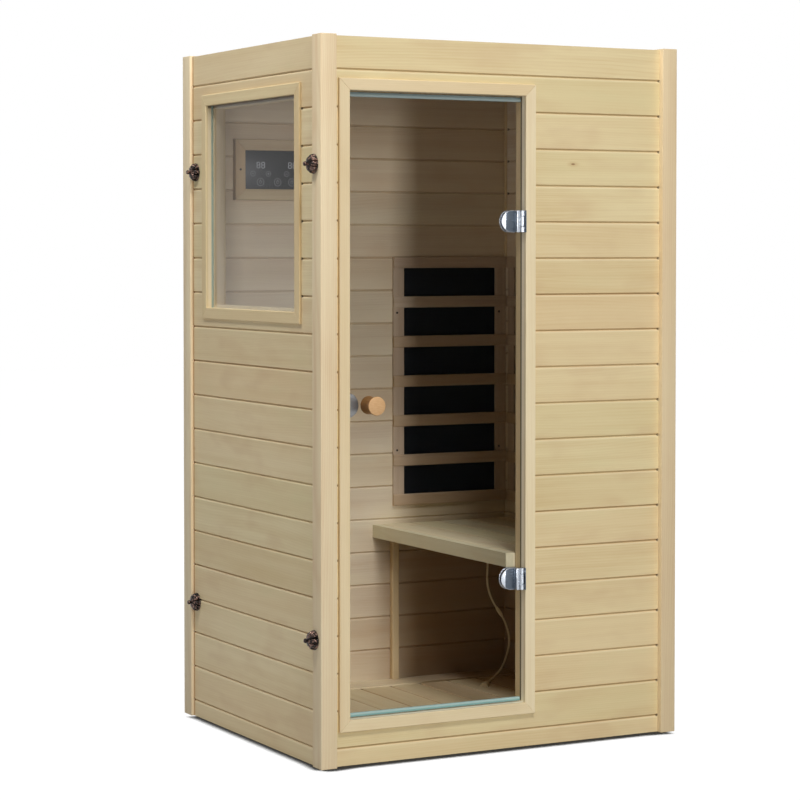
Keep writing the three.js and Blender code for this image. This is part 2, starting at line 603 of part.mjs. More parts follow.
function cableStretch(from, to, radius, steps) {
  const points = [];
  for (let i = 0; i <= steps; i += 1) {
    points.push(cableRoute.getPointAt(from + ((to - from) * i) / steps));
  }
  const section = new THREE.Shape();
  for (let i = 0; i < CABLE_SIDES; i += 1) {
    const angle = (2 * Math.PI * i) / CABLE_SIDES;
    const [x, y] = [radius * Math.cos(angle), radius * Math.sin(angle)];
    section[i === 0 ? "moveTo" : "lineTo"](x, y);
  }
  section.closePath();
  const extrudePath = new THREE.CatmullRomCurve3(points);
  return new THREE.ExtrudeGeometry(section, { steps, extrudePath });
}
const cableGap = FIT / cableLength;
add("cable_upper", cableStretch(0, CONNECTOR_FROM, CABLE_RADIUS, 14), CREAM_CABLE);
add("cable_connector", cableStretch(CONNECTOR_FROM + cableGap, CONNECTOR_TO - cableGap, CONNECTOR_RADIUS, 3),
  CREAM_CABLE);
add("cable_lower", cableStretch(CONNECTOR_TO, 1, CABLE_RADIUS, 22), CREAM_CABLE);

const glandProfile = [
  [0, 0],
  [GLAND_RADIUS, 0],
  [GLAND_RADIUS, GLAND_LENGTH / 3],
  [GLAND_NECK_RADIUS, GLAND_LENGTH / 2],
  [GLAND_TIP_RADIUS, GLAND_LENGTH],
  [0, GLAND_LENGTH],
];
const gland = lathe(glandProfile, 16).rotateX(Math.PI);
add("cable_wall_gland", gland, DARK_PLASTIC, [ROOM_X - CABLE_FROM_WALL, ROOM_BACK, DECK_TOP + CABLE_RISE]);

const cableEnd = cableRoute.getPointAt(1);
const cableAim = cableRoute.getTangentAt(1);
const hoodSection = new THREE.Shape();
hoodSection.moveTo(-HOOD_RADIUS, 0);
hoodSection.lineTo(HOOD_RADIUS, 0);
hoodSection.absarc(0, 0, HOOD_RADIUS, 0, Math.PI);
const hood = turned(extrude(hoodSection, HOOD_LENGTH, 8), Y, Z);
const hoodMesh = add("cable_floor_hood", hood.translate(FIT, 0, 0), DARK_PLASTIC,
  [cableEnd.x, cableEnd.y, DECK_TOP + FIT]);
hoodMesh.rotation.z = Math.atan2(cableAim.y, cableAim.x);

// Glass door, hung on two hinges at its right edge. Everything on it turns about the hinge pins.
const glassFront = FRONT_OUTER - DOOR_TRIM_PROUD + DOOR_GLASS_SETBACK;
const glassBack = glassFront + DOOR_GLASS;
const doorGlass = doorOpening.map((range) => grow(range, -DOOR_GAP));
const pinX = DOOR_RIGHT - HINGE_FROM_JAMB;
const pinY = glassFront - HINGE_FROM_GLASS;
const webRight = pinX - HINGE_EDGE;
const webLeft = webRight - HINGE_WEB;
const knobHoleRadius = BOLT_RADIUS + BOLT_PLAY;
const knobX = DOOR_LEFT + KNOB_INSET;
const knobLevel = (DOOR_SILL + DOOR_TOP) / 2;
const hingeLevels = { upper: DOOR_TOP - HINGE_FROM_END, lower: DOOR_SILL + HINGE_FROM_END };

const glassOutline = rectangle(...doorGlass);
const knobHole = new THREE.Path();
knobHole.absarc(knobX, knobLevel, knobHoleRadius, 0, 2 * Math.PI);
glassOutline.holes = [knobHole];
const glassSheet = new THREE.ExtrudeGeometry(glassOutline, {
  depth: DOOR_GLASS - 2 * GLASS_CHAMFER,
  curveSegments: 4,
  bevelEnabled: true,
  bevelThickness: GLASS_CHAMFER,
  bevelSize: GLASS_CHAMFER,
  bevelOffset: -GLASS_CHAMFER,
  bevelSegments: 1,
});
const notches = Object.values(hingeLevels).map((level) =>
  block([webLeft - FIT, DOOR_RIGHT], [-2 * DOOR_GLASS, 2 * DOOR_GLASS],
    grow([level - HINGE_NOTCH / 2, level + HINGE_NOTCH / 2], FIT)));
const sheet = turned(glassSheet.translate(0, 0, GLASS_CHAMFER), X, Z);
add("door_glass", cut(sheet, ...notches), TINTED_GLASS, [0, glassBack, 0]);

// A hinge is modelled round its pin. The clamp grips the glass and carries the middle knuckle; the leaf
// is screwed to the lining and carries the two outer knuckles and the pin.
function clampPlate(front) {
  const shape = new THREE.Shape();
  const right = webRight - pinX;
  const middle = HINGE_HEIGHT / 2 - HINGE_REACH;
  shape.moveTo(right, -HINGE_HEIGHT / 2);
  shape.lineTo(right, HINGE_HEIGHT / 2);
  shape.lineTo(middle, HINGE_HEIGHT / 2);
  shape.absarc(middle, 0, HINGE_HEIGHT / 2, Math.PI / 2, 1.5 * Math.PI);
  return turned(extrude(shape, HINGE_PLATE, 12), X, Z).translate(0, front + HINGE_PLATE, 0);
}

function hingeClamp() {
  const glassNear = HINGE_FROM_GLASS - FIT;
  const glassFar = HINGE_FROM_GLASS + DOOR_GLASS + FIT;
  const half = HINGE_MIDDLE / 2 - FIT;
  const plateNear = glassNear - HINGE_PLATE;
  const ribRight = -BARREL_RADIUS - FIT;
  const web = block([webLeft - pinX, webRight - pinX], [plateNear, glassFar + HINGE_PLATE],
    [-HINGE_NOTCH / 2, HINGE_NOTCH / 2]);
  const rib = block([2 * ribRight, ribRight], [0, glassNear], [-HINGE_HEIGHT / 2, HINGE_HEIGHT / 2]);
  const arm = block([ribRight - FIT, 0], [0, BARREL_RADIUS], [-half, half]);
  const body = join(clampPlate(plateNear), clampPlate(glassFar), web, rib, arm,
    cylinder(BARREL_RADIUS, -half, half));
  return cut(body, cylinder(PIN_RADIUS + FIT, -HINGE_HEIGHT, HINGE_HEIGHT, 16));
}

function hingeLeaf() {
  const plateRight = HINGE_FROM_JAMB - FIT;
  const plateLeft = plateRight - LEAF_THICK;
  const half = HINGE_HEIGHT / 2;
  const leafPlate = block([plateLeft, plateRight], [LEAF_DEPTH / 2 - HINGE_FROM_GLASS + FIT, LEAF_DEPTH / 2],
    [-half, half]);
  const parts = [leafPlate, cylinder(PIN_RADIUS, -half, half, 16)];
  for (const ends of [[-half, -HINGE_MIDDLE / 2], [HINGE_MIDDLE / 2, half]]) {
    parts.push(cylinder(BARREL_RADIUS, ...ends));
    parts.push(block([0, plateLeft + LEAF_THICK / 2], [-BARREL_RADIUS / 2, BARREL_RADIUS / 2], ends));
  }
  return join(...parts);
}

for (const [name, level] of Object.entries(hingeLevels)) {
  add(`${name}_hinge_clamp`, hingeClamp(), CHROME, [pinX, pinY, level]);
  add(`${name}_hinge_leaf`, hingeLeaf(), CHROME, [pinX, pinY, level]);
}

// Turned wooden knob, held by a bolt with a washer from inside
const knobProfile = [
  [0, BOLT_BITE + FIT],
  [knobHoleRadius, BOLT_BITE + FIT],
  [knobHoleRadius, 0],
  [KNOB_FOOT_RADIUS, 0],
  [KNOB_WAIST_RADIUS, KNOB_WAIST_AT],
  [KNOB_RADIUS - KNOB_RIM / 2, KNOB_LENGTH - 2 * KNOB_RIM],
  [KNOB_RADIUS, KNOB_LENGTH - KNOB_RIM],
  [KNOB_RADIUS - KNOB_RIM / 3, KNOB_LENGTH - KNOB_RIM / 3],
  [KNOB_RADIUS - KNOB_RIM, KNOB_LENGTH],
  [0, KNOB_LENGTH],
];
add("door_knob", lathe(knobProfile, 24).rotateX(Math.PI), BENCH_WOOD, [knobX, glassFront - FIT, knobLevel]);
const boltProfile = [
  [0, -(DOOR_GLASS + 2 * FIT + BOLT_BITE)],
  [BOLT_RADIUS, -(DOOR_GLASS + 2 * FIT + BOLT_BITE)],
  [BOLT_RADIUS, 0],
  [WASHER_RADIUS, 0],
  [WASHER_RADIUS, WASHER_THICK],
  [BOLT_HEAD_RADIUS, WASHER_THICK],
  [BOLT_HEAD_RADIUS, WASHER_THICK + BOLT_HEAD / 2],
  [BOLT_CROWN_RADIUS, WASHER_THICK + BOLT_HEAD],
  [0, WASHER_THICK + BOLT_HEAD],
];
add("knob_bolt", lathe(boltProfile, 12), CHROME, [knobX, glassBack + FIT, knobLevel]);

// Round-ended steel strike on the glass, and the magnetic catch on the lining that holds it
const strikeShape = new THREE.Shape();
strikeShape.moveTo(0, STRIKE_RADIUS);
strikeShape.lineTo(0, -STRIKE_RADIUS);
strikeShape.lineTo(STRIKE_REACH - STRIKE_RADIUS, -STRIKE_RADIUS);
strikeShape.absarc(STRIKE_REACH - STRIKE_RADIUS, 0, STRIKE_RADIUS, -Math.PI / 2, Math.PI / 2);
const strike = turned(extrude(strikeShape, STRIKE_THICK, 16), X, Z);
const strikeBack = glassBack + FIT + STRIKE_THICK;
add("door_strike", strike, CHROME, [doorGlass[0][0] + FIT, strikeBack, knobLevel]);
const catchFront = strikeBack + FIT;
add("door_catch",
  block([DOOR_LEFT + FIT, DOOR_LEFT + CATCH_WIDTH], [catchFront, catchFront + CATCH_DEPTH],
    [knobLevel - CATCH_HEIGHT / 2, knobLevel + CATCH_HEIGHT / 2]), DARK_PLASTIC);

// Rosette knobs: a lobed plate with a waisted boss and a ball finial, facing +z from its seat
function rosetteKnob() {
  const outline = new THREE.Shape();
  const steps = ROSETTE_LOBES * 4;
  for (let i = 0; i < steps; i += 1) {
    const angle = (2 * Math.PI * i) / steps;
    const lobe = Math.abs(Math.cos((ROSETTE_LOBES * angle) / 2));
    const radius = ROSETTE_VALLEY + (ROSETTE_RADIUS - ROSETTE_VALLEY) * lobe;
    outline[i === 0 ? "moveTo" : "lineTo"](radius * Math.cos(angle), radius * Math.sin(angle));
  }
  outline.closePath();
  const lobedPlate = extrude(outline, ROSETTE_THICK).translate(0, 0, FIT);
  const ballMiddle = ROSETTE_PROUD - BALL_RADIUS;
  const profile = [
    [0, ROSETTE_THICK / 2],
    [BOSS_RADIUS, ROSETTE_THICK / 2],
    [BOSS_RADIUS, ROSETTE_THICK + BOSS_SHOULDER],
    [BOSS_WAIST_RADIUS, BOSS_WAIST_AT],
    [NECK_RADIUS, ballMiddle - BALL_FACET * BALL_RADIUS],
    [BALL_RADIUS, ballMiddle],
    [BALL_FACET_RADIUS, ballMiddle + BALL_FACET * BALL_RADIUS],
    [0, ROSETTE_PROUD],
  ];
  return join(lobedPlate, lathe(profile, 12).rotateX(Math.PI / 2));
}

const latchFrontY = LATCH_FRONT_INSET - CABIN_DEPTH / 2;
const latchRearY = CABIN_DEPTH / 2 - LATCH_REAR_INSET;
for (const [end, y, seat] of [["front", latchFrontY, CABIN_WIDTH / 2], ["rear", latchRearY, SIDE_OUTER]]) {
  for (const [level, z] of [["upper", CABIN_HEIGHT - LATCH_DROP], ["lower", LATCH_RISE]]) {
    const knob = add(`${end}_${level}_latch`, rosetteKnob(), BRONZE, [-seat, y, z]);
    knob.rotation.y = -Math.PI / 2;
  }
}

export default cabin;
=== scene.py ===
import math

import bmesh
import bpy
from mathutils import Matrix, Vector


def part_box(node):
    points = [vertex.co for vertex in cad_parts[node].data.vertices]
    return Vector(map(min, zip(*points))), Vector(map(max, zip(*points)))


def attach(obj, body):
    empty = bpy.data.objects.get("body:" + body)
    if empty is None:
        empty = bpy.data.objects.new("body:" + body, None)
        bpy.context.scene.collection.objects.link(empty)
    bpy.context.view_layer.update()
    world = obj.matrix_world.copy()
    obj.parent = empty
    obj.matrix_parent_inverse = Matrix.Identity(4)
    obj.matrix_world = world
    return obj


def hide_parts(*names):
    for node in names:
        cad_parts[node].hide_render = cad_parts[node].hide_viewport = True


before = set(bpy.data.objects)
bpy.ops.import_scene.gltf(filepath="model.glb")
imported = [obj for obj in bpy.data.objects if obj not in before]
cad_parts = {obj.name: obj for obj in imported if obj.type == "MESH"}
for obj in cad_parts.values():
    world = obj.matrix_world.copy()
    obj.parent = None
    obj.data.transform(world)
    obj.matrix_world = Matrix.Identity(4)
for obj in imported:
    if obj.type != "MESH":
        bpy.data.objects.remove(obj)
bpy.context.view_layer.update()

# Viewpoint. The cabin is seen from its front left corner, seven metres off and at shoulder height,
# through a long lens that is held nearly level and lowered, so that the posts stand upright.
PICTURE = 800.0
FOCAL_PIXELS = 2450.3
AXIS_FROM_TOP = 327.4
eye = bpy.data.cameras.new("eye")
eye.sensor_width = 36.0
eye.lens = eye.sensor_width * FOCAL_PIXELS / PICTURE
eye.shift_y = AXIS_FROM_TOP / PICTURE - 0.5
viewpoint = bpy.data.objects.new("viewpoint", eye)
viewpoint.location = (-3.3335, -6.0951, 1.3430)
viewpoint.rotation_euler = (math.radians(88.2), 0.0, -math.radians(28.094))
bpy.context.scene.collection.objects.link(viewpoint)
bpy.context.scene.camera = viewpoint


# Heater cable. A cream round lead, six millimetres thick, leaves a gland in the back wall, hangs in a
# loose bow, passes a moulded in-line connector and lies on the deck up to the hood that it enters.
class Value:
    """A socket of a finish. Sums and products of sockets add Math nodes to it."""

    def __init__(self, tree, socket=None):
        self.tree = tree
        self.socket = socket

    def node(self, kind, settings=None, sockets=None, out=0):
        made = self.tree.nodes.new("ShaderNode" + kind)
        for name, setting in (settings or {}).items():
            setattr(made, name, setting)
        for name, given in (sockets or {}).items():
            if isinstance(given, Value):
                self.tree.links.new(given.socket, made.inputs[name])
            else:
                made.inputs[name].default_value = given
        return Value(self.tree, made.outputs[out])

    def math(self, operation, *values):
        return self.node("Math", {"operation": operation}, dict(enumerate(values)))

    def __add__(self, other):
        return self.math("ADD", self, other)

    def __sub__(self, other):
        return self.math("SUBTRACT", self, other)

    def __rsub__(self, other):
        return self.math("SUBTRACT", other, self)

    def __mul__(self, other):
        return self.math("MULTIPLY", self, other)

    def __truediv__(self, other):
        return self.math("DIVIDE", self, other)

    def __mod__(self, other):
        return self.math("FLOORED_MODULO", self, other)

    def __pow__(self, other):
        return self.math("POWER", self, other)

    def __gt__(self, other):
        return self.math("GREATER_THAN", self, other)

    def __lt__(self, other):
        return self.math("LESS_THAN", self, other)

    def __abs__(self):
        return self.math("ABSOLUTE", self)

    __radd__ = __add__
    __rmul__ = __mul__

    def larger(self, other):
        return self.math("MAXIMUM", self, other)

    def ramp(self, low, high):
        """0 below low, 1 above high, and smooth between them."""
        sockets = {"Value": self, "From Min": low, "From Max": high}
        return self.node("MapRange", {"interpolation_type": "SMOOTHSTEP"}, sockets)

    def blend(self, first, second):
        """The first colour where this is 0, the second where it is 1."""
        return self.node("Mix", {"data_type": "RGBA"}, {0: self, 6: first, 7: second}, 2)

    def split(self):
        return [self.node("SeparateXYZ", None, {0: self}, axis) for axis in range(3)]

    def noise(self, across, scale=1.0, detail=2.0, roughness=0.5):
        """Cloudy noise on a point, given as three values."""
        place = self.node("CombineXYZ", None, dict(enumerate(across)))
        sockets = {"Vector": place, "Scale": scale, "Detail": detail, "Roughness": roughness}
        return self.node("TexNoise", None, sockets)


def colour(code):
    """The linear colour of a hexadecimal code."""
    parts = [int(code[i:i + 2], 16) / 255.0 for i in (0, 2, 4)]
    return (*[p / 12.92 if p < 0.04045 else ((p + 0.055) / 1.055) ** 2.4 for p in parts], 1.0)


def begin(name, **sockets):
    """A new finish with the fixed values of its shader set; gives its material and its place."""
    finish = bpy.data.materials.new(name)
    finish.use_nodes = True
    shader = finish.node_tree.nodes["Principled BSDF"]
    for socket, given in sockets.items():
        shader.inputs[socket.replace("_", " ")].default_value = given
    return finish, Value(finish.node_tree).node("TexCoord", out="Object")


def complete(finish, height=None, lift=0.0005, strength=1.0, **sockets):
    """Link what varies over the surface to the shader of a finish, with a bump of that height."""
    shader = finish.node_tree.nodes["Principled BSDF"]
    if height is not None:
        sockets["Normal"] = height.node("Bump", None, {"Strength": strength, "Distance": lift, "Height": height})
    for socket, given in sockets.items():
        finish.node_tree.links.new(given.socket, shader.inputs[socket.replace("_", " ")])
    return finish


def plastic(name, pale, dark, roughness, speck):
    """Moulded plastic: a faint mottle in colour and gloss, and a fine moulded skin."""
    finish, place = begin(name, Specular_IOR_Level=0.4)
    x, y, z = place.split()
    mottle = place.noise((x, y, z), 40.0, 3.0)
    skin = place.noise((x, y, z), speck, 1.0)
    return complete(finish, skin, 0.0002, 0.4, Base_Color=mottle.blend(colour(dark), colour(pale)),
                    Roughness=roughness + (mottle - 0.5) * 0.2)


def turn(profile, steps):
    """A skin turned about Z from a profile of (radius, height) points."""
    made = bmesh.new()
    line = [made.verts.new((radius, 0.0, height)) for radius, height in profile]
    edges = [made.edges.new(pair) for pair in zip(line, line[1:])]
    bmesh.ops.spin(made, geom=line + edges, axis=(0.0, 0.0, 1.0), cent=(0.0, 0.0, 0.0),
                   angle=2.0 * math.pi, steps=steps, use_merge=True)
    bmesh.ops.remove_doubles(made, verts=made.verts, dist=1e-6)
    bmesh.ops.recalc_face_normals(made, faces=made.faces)
    return made


def fit(name, mesh, body, slot, *finishes, replaces=()):
    """Make a mesh a piece of the cabin that rides on a body."""
    data = bpy.data.meshes.new(name)
    mesh.to_mesh(data)
    mesh.free()
    data.shade_smooth()
    data.set_sharp_from_angle(angle=math.radians(40.0))
    for finish in finishes:
        data.materials.append(finish)
    made = bpy.data.objects.new(name, data)
    bpy.context.scene.collection.objects.link(made)
    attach(made, body)
    if replaces:
        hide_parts(*replaces)
    return made


def dress(finish, *nodes):
    """Give pieces that keep their shape their finish."""
    for node in nodes:
        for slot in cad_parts[node].material_slots:
            slot.material = finish


CABLE_THICK = 0.006
CABLE_ROUTE = [
    (0.4067, 0.3751, 0.4400), (0.4067, 0.3691, 0.4400), (0.4067, 0.3597, 0.4370), (0.4067, 0.3507, 0.4280),
    (0.4067, 0.3457, 0.4140), (0.4067, 0.3447, 0.3810), (0.4037, 0.3417, 0.3460), (0.4057, 0.3377, 0.3120),
    (0.4197, 0.3317, 0.2710), (0.4417, 0.3247, 0.2350), (0.4587, 0.3177, 0.1950), (0.4627, 0.3097, 0.1550),
    (0.4477, 0.2997, 0.1120), (0.4197, 0.2857, 0.0760), (0.3947, 0.2727, 0.0610), (0.3707, 0.2537, 0.0545),
    (0.3417, 0.2217, 0.0535), (0.3087, 0.1837, 0.0535),
]
CONNECTOR_MIDDLE = Vector((0.4372, 0.3262, 0.2421))
CONNECTOR_AIM = Vector((0.52, -0.166, -0.838))
cream_skin = plastic("cream_cable_skin", "F8F0DA", "EBDFC0", 0.45, 900.0)
lead = bpy.data.curves.new("heater_cable", "CURVE")
lead.dimensions = "3D"
lead.bevel_depth = CABLE_THICK / 2
lead.bevel_resolution = 4
lead.resolution_u = 8
lead.use_fill_caps = True
lead.materials.append(cream_skin)
run = lead.splines.new("BEZIER")
run.bezier_points.add(len(CABLE_ROUTE) - 1)
for point, place in zip(run.bezier_points, CABLE_ROUTE):
    point.co = place
    point.handle_left_type = "AUTO"
    point.handle_right_type = "AUTO"
cable = bpy.data.objects.new("heater_cable", lead)
bpy.context.scene.collection.objects.link(cable)
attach(cable, "cabin")
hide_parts("cable_upper", "cable_lower")
connector_mesh = turn([
    (0.0, -0.0172), (0.0036, -0.0172), (0.0042, -0.0164), (0.0044, -0.0120), (0.0052, -0.0108),
    (0.0055, -0.0098), (0.0055, -0.0014), (0.0050, -0.0010), (0.0050, 0.0010), (0.0055, 0.0014),
    (0.0055, 0.0098), (0.0052, 0.0108), (0.0044, 0.0120), (0.0042, 0.0164), (0.0036, 0.0172), (0.0, 0.0172),
], 32)
connector_turn = Vector((0.0, 0.0, 1.0)).rotation_difference(CONNECTOR_AIM).to_matrix().to_4x4()
connector_mesh.transform(Matrix.Translation(CONNECTOR_MIDDLE) @ connector_turn)
connector = fit("cable_connector_body", connector_mesh, "cabin", "cable",
                plastic("connector_shell", "FFF8E2", "F6EACA", 0.4, 900.0), replaces=["cable_connector"])
black_plastic = plastic("black_plastic", "26262A", "17171A", 0.5, 700.0)
dress(black_plastic, "door_catch")
dress(plastic("brown_plastic", "5A4026", "3C2A18", 0.55, 700.0), "cable_wall_gland")
dress(plastic("tan_plastic", "EADAB6", "D4C096", 0.55, 700.0), "cable_floor_hood")


# Floor. Planed hemlock boards are laid from front to back on a bearer frame, with a V at each joint; a
# thin board along the back wall covers their ends, and each V ends under it in a spot of painted shade.
BOARD_PITCH = 0.098
JOINT_SHADE_BROWN = "946638"
KNOT_BROWN = "7B4F2C"


def timber(name, grain, pale, warm, joints=None, mitre=None, seed=0.0, knots=0.08, groove=0.0, ring=0.22,
           vary=0.55, blotch=0.3, fade=0.0, pits=None, gap_shade_reveal_light=None,
           crack=None, head=None, painted_shade_span=None):
    """Planed softwood with its grain along an axis.

    joints: the axis across the boards and the place of one joint, so that each board has its own tone.
    mitre: the axis across the uprights, and the opening's range along it and along Z, for a frame.
    groove: how strong the painted shade in each V joint is, and the painted highlight on the edge below it;
    ring: how strong the yearly rings show; vary: how far boards differ.
    blotch: how strong the pinkish and greenish clouds show.
    fade: how much paler a board is towards its lower edge.
    pits: an axis and, for each place along it where the joints end in a hole of painted shade, the place and its
    heights.
    seal: the range along Y of a strip of painted shade beside the glass, and the sill's height; painted light makes the
    wood before it paler.
    crack: an axis and the place along it of a thin open joint to the next piece, drawn as a line of painted shade.
    head: the height of an opening's head, whose rebate and underside get painted shade.
    raw: the range along X over which the wood turns dark and orange, and the height up to which it does: painted shade
    under and beside the bench.
    """
    finish, place = begin(name, Specular_IOR_Level=0.25)
    axes = dict(zip("XYZ", place.split()))
    if mitre:
        across_axis, (left, right), (bottom, top) = mitre
        u, z = axes[across_axis], axes["Z"]
        beside = (left - u).larger(u - right)
        above = (bottom - z).larger(z - top)
        upright = beside > above
        level = 1 - upright
        along = upright * z + level * u
        across = upright * u + level * z
        depth = axes["Y" if across_axis == "X" else "X"]
        number = upright * (2 + (u > (left + right) / 2)) + level * (z > (bottom + top) / 2)
        joint = 1 - abs(beside - above).ramp(0.0003, 0.0010)
    else:
        rest = [axis for axis in "XYZ" if axis != grain]
        along, across, depth = axes[grain], axes[rest[0]], axes[rest[1]]
        number = along * 0.0
        if joints:
            across = axes[joints[0]]
            depth = axes[next(axis for axis in rest if axis != joints[0])]
            number = ((across - joints[1]) / BOARD_PITCH).math("FLOOR", (across - joints[1]) / BOARD_PITCH)
            from_joint = (across - joints[1] + BOARD_PITCH / 2) % BOARD_PITCH - BOARD_PITCH / 2
            joint = 1 - abs(from_joint - 0.0012).ramp(0.0010, 0.0030)
    draw = place.node("TexWhiteNoise", {"noise_dimensions": "1D"}, {"W": number + seed}, "Color")
    first, second, third = draw.split()
    along = along + first * 11
    across = across + second * 3
    depth = depth + third * 2
    cloud = place.noise((along * 2.2, across * 7, depth * 7), 1.0, 2.0)
    streak = place.noise((along * 1.3, across * 52, depth * 52), 1.0, 3.0, 0.6)
    fibre = place.noise((along * 16, across * 640, depth * 640), 1.0, 1.0)
    sway = place.noise((along * 0.8, across * 5, depth * 5), 1.0, 1.0)
    turns = (across + (sway - 0.5) * 0.11) * 900
    rings = (turns.math("SINE", turns) * 0.5 + 0.5) ** 3
    tone = (streak - 0.5) * 0.75 + (cloud - 0.5) * 0.6 + (fibre - 0.5) * 0.28 + rings * ring * cloud + 0.42
    shade = tone.ramp(0.0, 1.0).blend(colour(pale), colour(warm))
    shade = (second * vary).blend(shade, (third > 0.5).blend(colour("E4C79B"), colour("DCCB99")))
    bloom = place.noise((along * 5, across * 12, depth * 12), 1.0, 2.0)
    shade = (bloom.ramp(0.50, 0.74) * blotch).blend(shade, colour("CDAC84"))
    shade = ((1 - bloom).ramp(0.54, 0.76) * blotch * 0.6).blend(shade, colour("DCD5A4"))
    shade = ((first - 0.5) * 0.22 + 0.05).ramp(0.0, 0.5).blend(shade, colour("C9A672"))
    if fade:
        rise = ((axes[joints[0]] - joints[1]) % BOARD_PITCH) / BOARD_PITCH
        shade = ((1 - rise.ramp(0.05, 0.6)) * fade).blend(shade, colour("F2E6C6"))
    if knots:
        cells = place.node("CombineXYZ", None, {0: along * 1.5, 1: across * 4.0})
        settings = {"voronoi_dimensions": "2D"}
        far = place.node("TexVoronoi", settings, {"Vector": cells, "Scale": 1.0}, "Distance")
        chosen = place.node("TexVoronoi", settings, {"Vector": cells, "Scale": 1.0}, "Color").split()[0] < knots
        halo = (1 - far.ramp(0.008, 0.040)) * chosen * 0.3
        core = (1 - far.ramp(0.004, 0.013)) * chosen * 0.8
        shade = halo.blend(shade, colour("B98A55"))
        shade = core.blend(shade, colour(KNOT_BROWN))
    # Painted shade on the upper face of each V joint, and a painted highlight on the edge below it, as if lit from
    # above.
    if groove:
        shade = (joint * groove * (0.6 + first * 0.7)).blend(shade, colour(JOINT_SHADE_BROWN))
    if groove and joints:
        painted_arris_highlight = 1 - abs(from_joint + 0.0045).ramp(0.0012, 0.0030)
        shade = (painted_arris_highlight * groove * 0.5).blend(shade, colour("FFF2D0"))
    # Painted shade in the hole where each V joint runs under the next piece.
    if pits:
        hollow = 1 - abs(from_joint).ramp(0.0022, 0.0042)
        for end, lowest, highest in pits[1]:
            pit_shade = hollow * (1 - abs(axes[pits[0]] - end).ramp(0.003, 0.007)) * (axes["Z"] > lowest) * (axes["Z"] < highest)
            shade = (pit_shade * 0.75).blend(shade, colour("3A2514"))
    # A line of painted shade in the open joint beside the next piece.
    if crack:
        gap_shade = 1 - abs(axes[crack[0]] - crack[1]).ramp(0.005, 0.009)
        shade = (gap_shade * 0.7).blend(shade, colour("A06A34"))
    # Painted shade that deepens towards the right, up to a height, under and beside the bench.
    if painted_shade_span:
        start, stop, height = painted_shade_span
        painted_shade_mask = axes["X"].ramp(start, stop) * (1 - axes["Z"].ramp(height - 0.05, height))
        shade = (painted_shade_mask * 0.65).blend(shade, colour("7A4C1E"))
    # Painted shade on the rebate and underside of an opening's head.
    if head:
        shade = (axes["Z"].ramp(head - 0.010, head - 0.003) * 0.8).blend(shade, colour("4A3624"))
    # Painted light on the lining before the glass and on the sill, and a strip of painted shade in the gap beside the
    # glass.
    if gap_shade_reveal_light:
        front, back, sill = gap_shade_reveal_light
        shade = ((axes["Y"] < front).larger(axes["Z"] < sill) * 0.85).blend(shade, colour("FFF4DC"))
        gap_shade_strip = (axes["Y"] > front) * (axes["Y"] < back) * (axes["Z"] > sill)
        shade = (gap_shade_strip * 0.85).blend(shade, colour("4A4A3C"))
    return complete(finish, fibre * 0.5 + streak + rings * 0.3, 0.0004, 0.35, Base_Color=shade,
                    Roughness=0.52 + (streak - 0.5) * 0.25)


board_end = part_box("floor_end_board")[0].y
# The deck gets painted shade towards the right, where the bench shades it.
dress(timber("deck_boards", "Y", "E6DABA", "D0BC92", joints=("X", 0.049), seed=3.0, groove=0.6,
             pits=("Y", [(board_end - 0.004, 0.0, 1.0)]), painted_shade_span=(0.20, 0.50, 1.0)), "floor_deck")
bearer_wood = timber("bearer_wood", "X", "E0C897", "C4A06C", seed=9.0)
dress(bearer_wood, "base_frame", "roof_cover")
# The end board gets the same painted shade.
dress(timber("end_board_wood", "X", "EEE4C6", "DDCBA4", seed=11.0, knots=0.0, painted_shade_span=(0.05, 0.35, 1.0)), "floor_end_board")


# Corner posts. Four square hemlock posts with crisp, barely eased edges stand on the ground, a little proud
# of the walls; the wall panels slot between them. Their grain runs upright, with pinkish streaks.
def block(mesh, low, high, ease=0.0, segments=2):
    """Add a box between two corners to a mesh, with its edges eased."""
    size = Vector(high) - Vector(low)
    place = Matrix.Translation((Vector(high) + Vector(low)) / 2) @ Matrix.Diagonal((*size, 1.0))
    verts = bmesh.ops.create_cube(mesh, size=1.0, matrix=place)["verts"]
    edges = list({edge for vert in verts for edge in vert.link_edges})
    if ease:
        bmesh.ops.bevel(mesh, geom=edges, offset=ease, offset_type="OFFSET", segments=segments, profile=0.5,
                        affect="EDGES", material=-1)
    return mesh


POST_EASE = 0.0015
post_woods = {
    "front_left": ("F3E2C0", "DFC09A", 21.0), "front_right": ("ECD6B4", "D8B696", 22.0),
    "rear_left": ("EEDFBC", "DAC09C", 23.0), "rear_right": ("E7D2AA", "D2B286", 24.0),
}
# The left face of the front right post and the front face of the rear left post take a paler wood: painted light where
# the lamps catch them.
painted_light_wood = timber("post_painted_light_wood", "Z", "FBEBC8", "EFD3A4", seed=25.0, knots=0.0, vary=0.0, blotch=0.0)
for corner, (pale, warm, seed) in post_woods.items():
    node = corner + "_post"
    post_mesh = block(bmesh.new(), *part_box(node), POST_EASE, 3)
    post_mesh.normal_update()
    for face in post_mesh.faces:
        face.material_index = int(face.normal.x < -0.9 if corner == "front_right" else
                                  face.normal.y < -0.9 if corner == "rear_left" else False)
    fit(node + "_planed", post_mesh, "cabin", "trim_wood",
        timber(node + "_wood", "Z", pale, warm, seed=seed, knots=0.04, ring=0.35, blotch=0.12), painted_light_wood, replaces=[node])


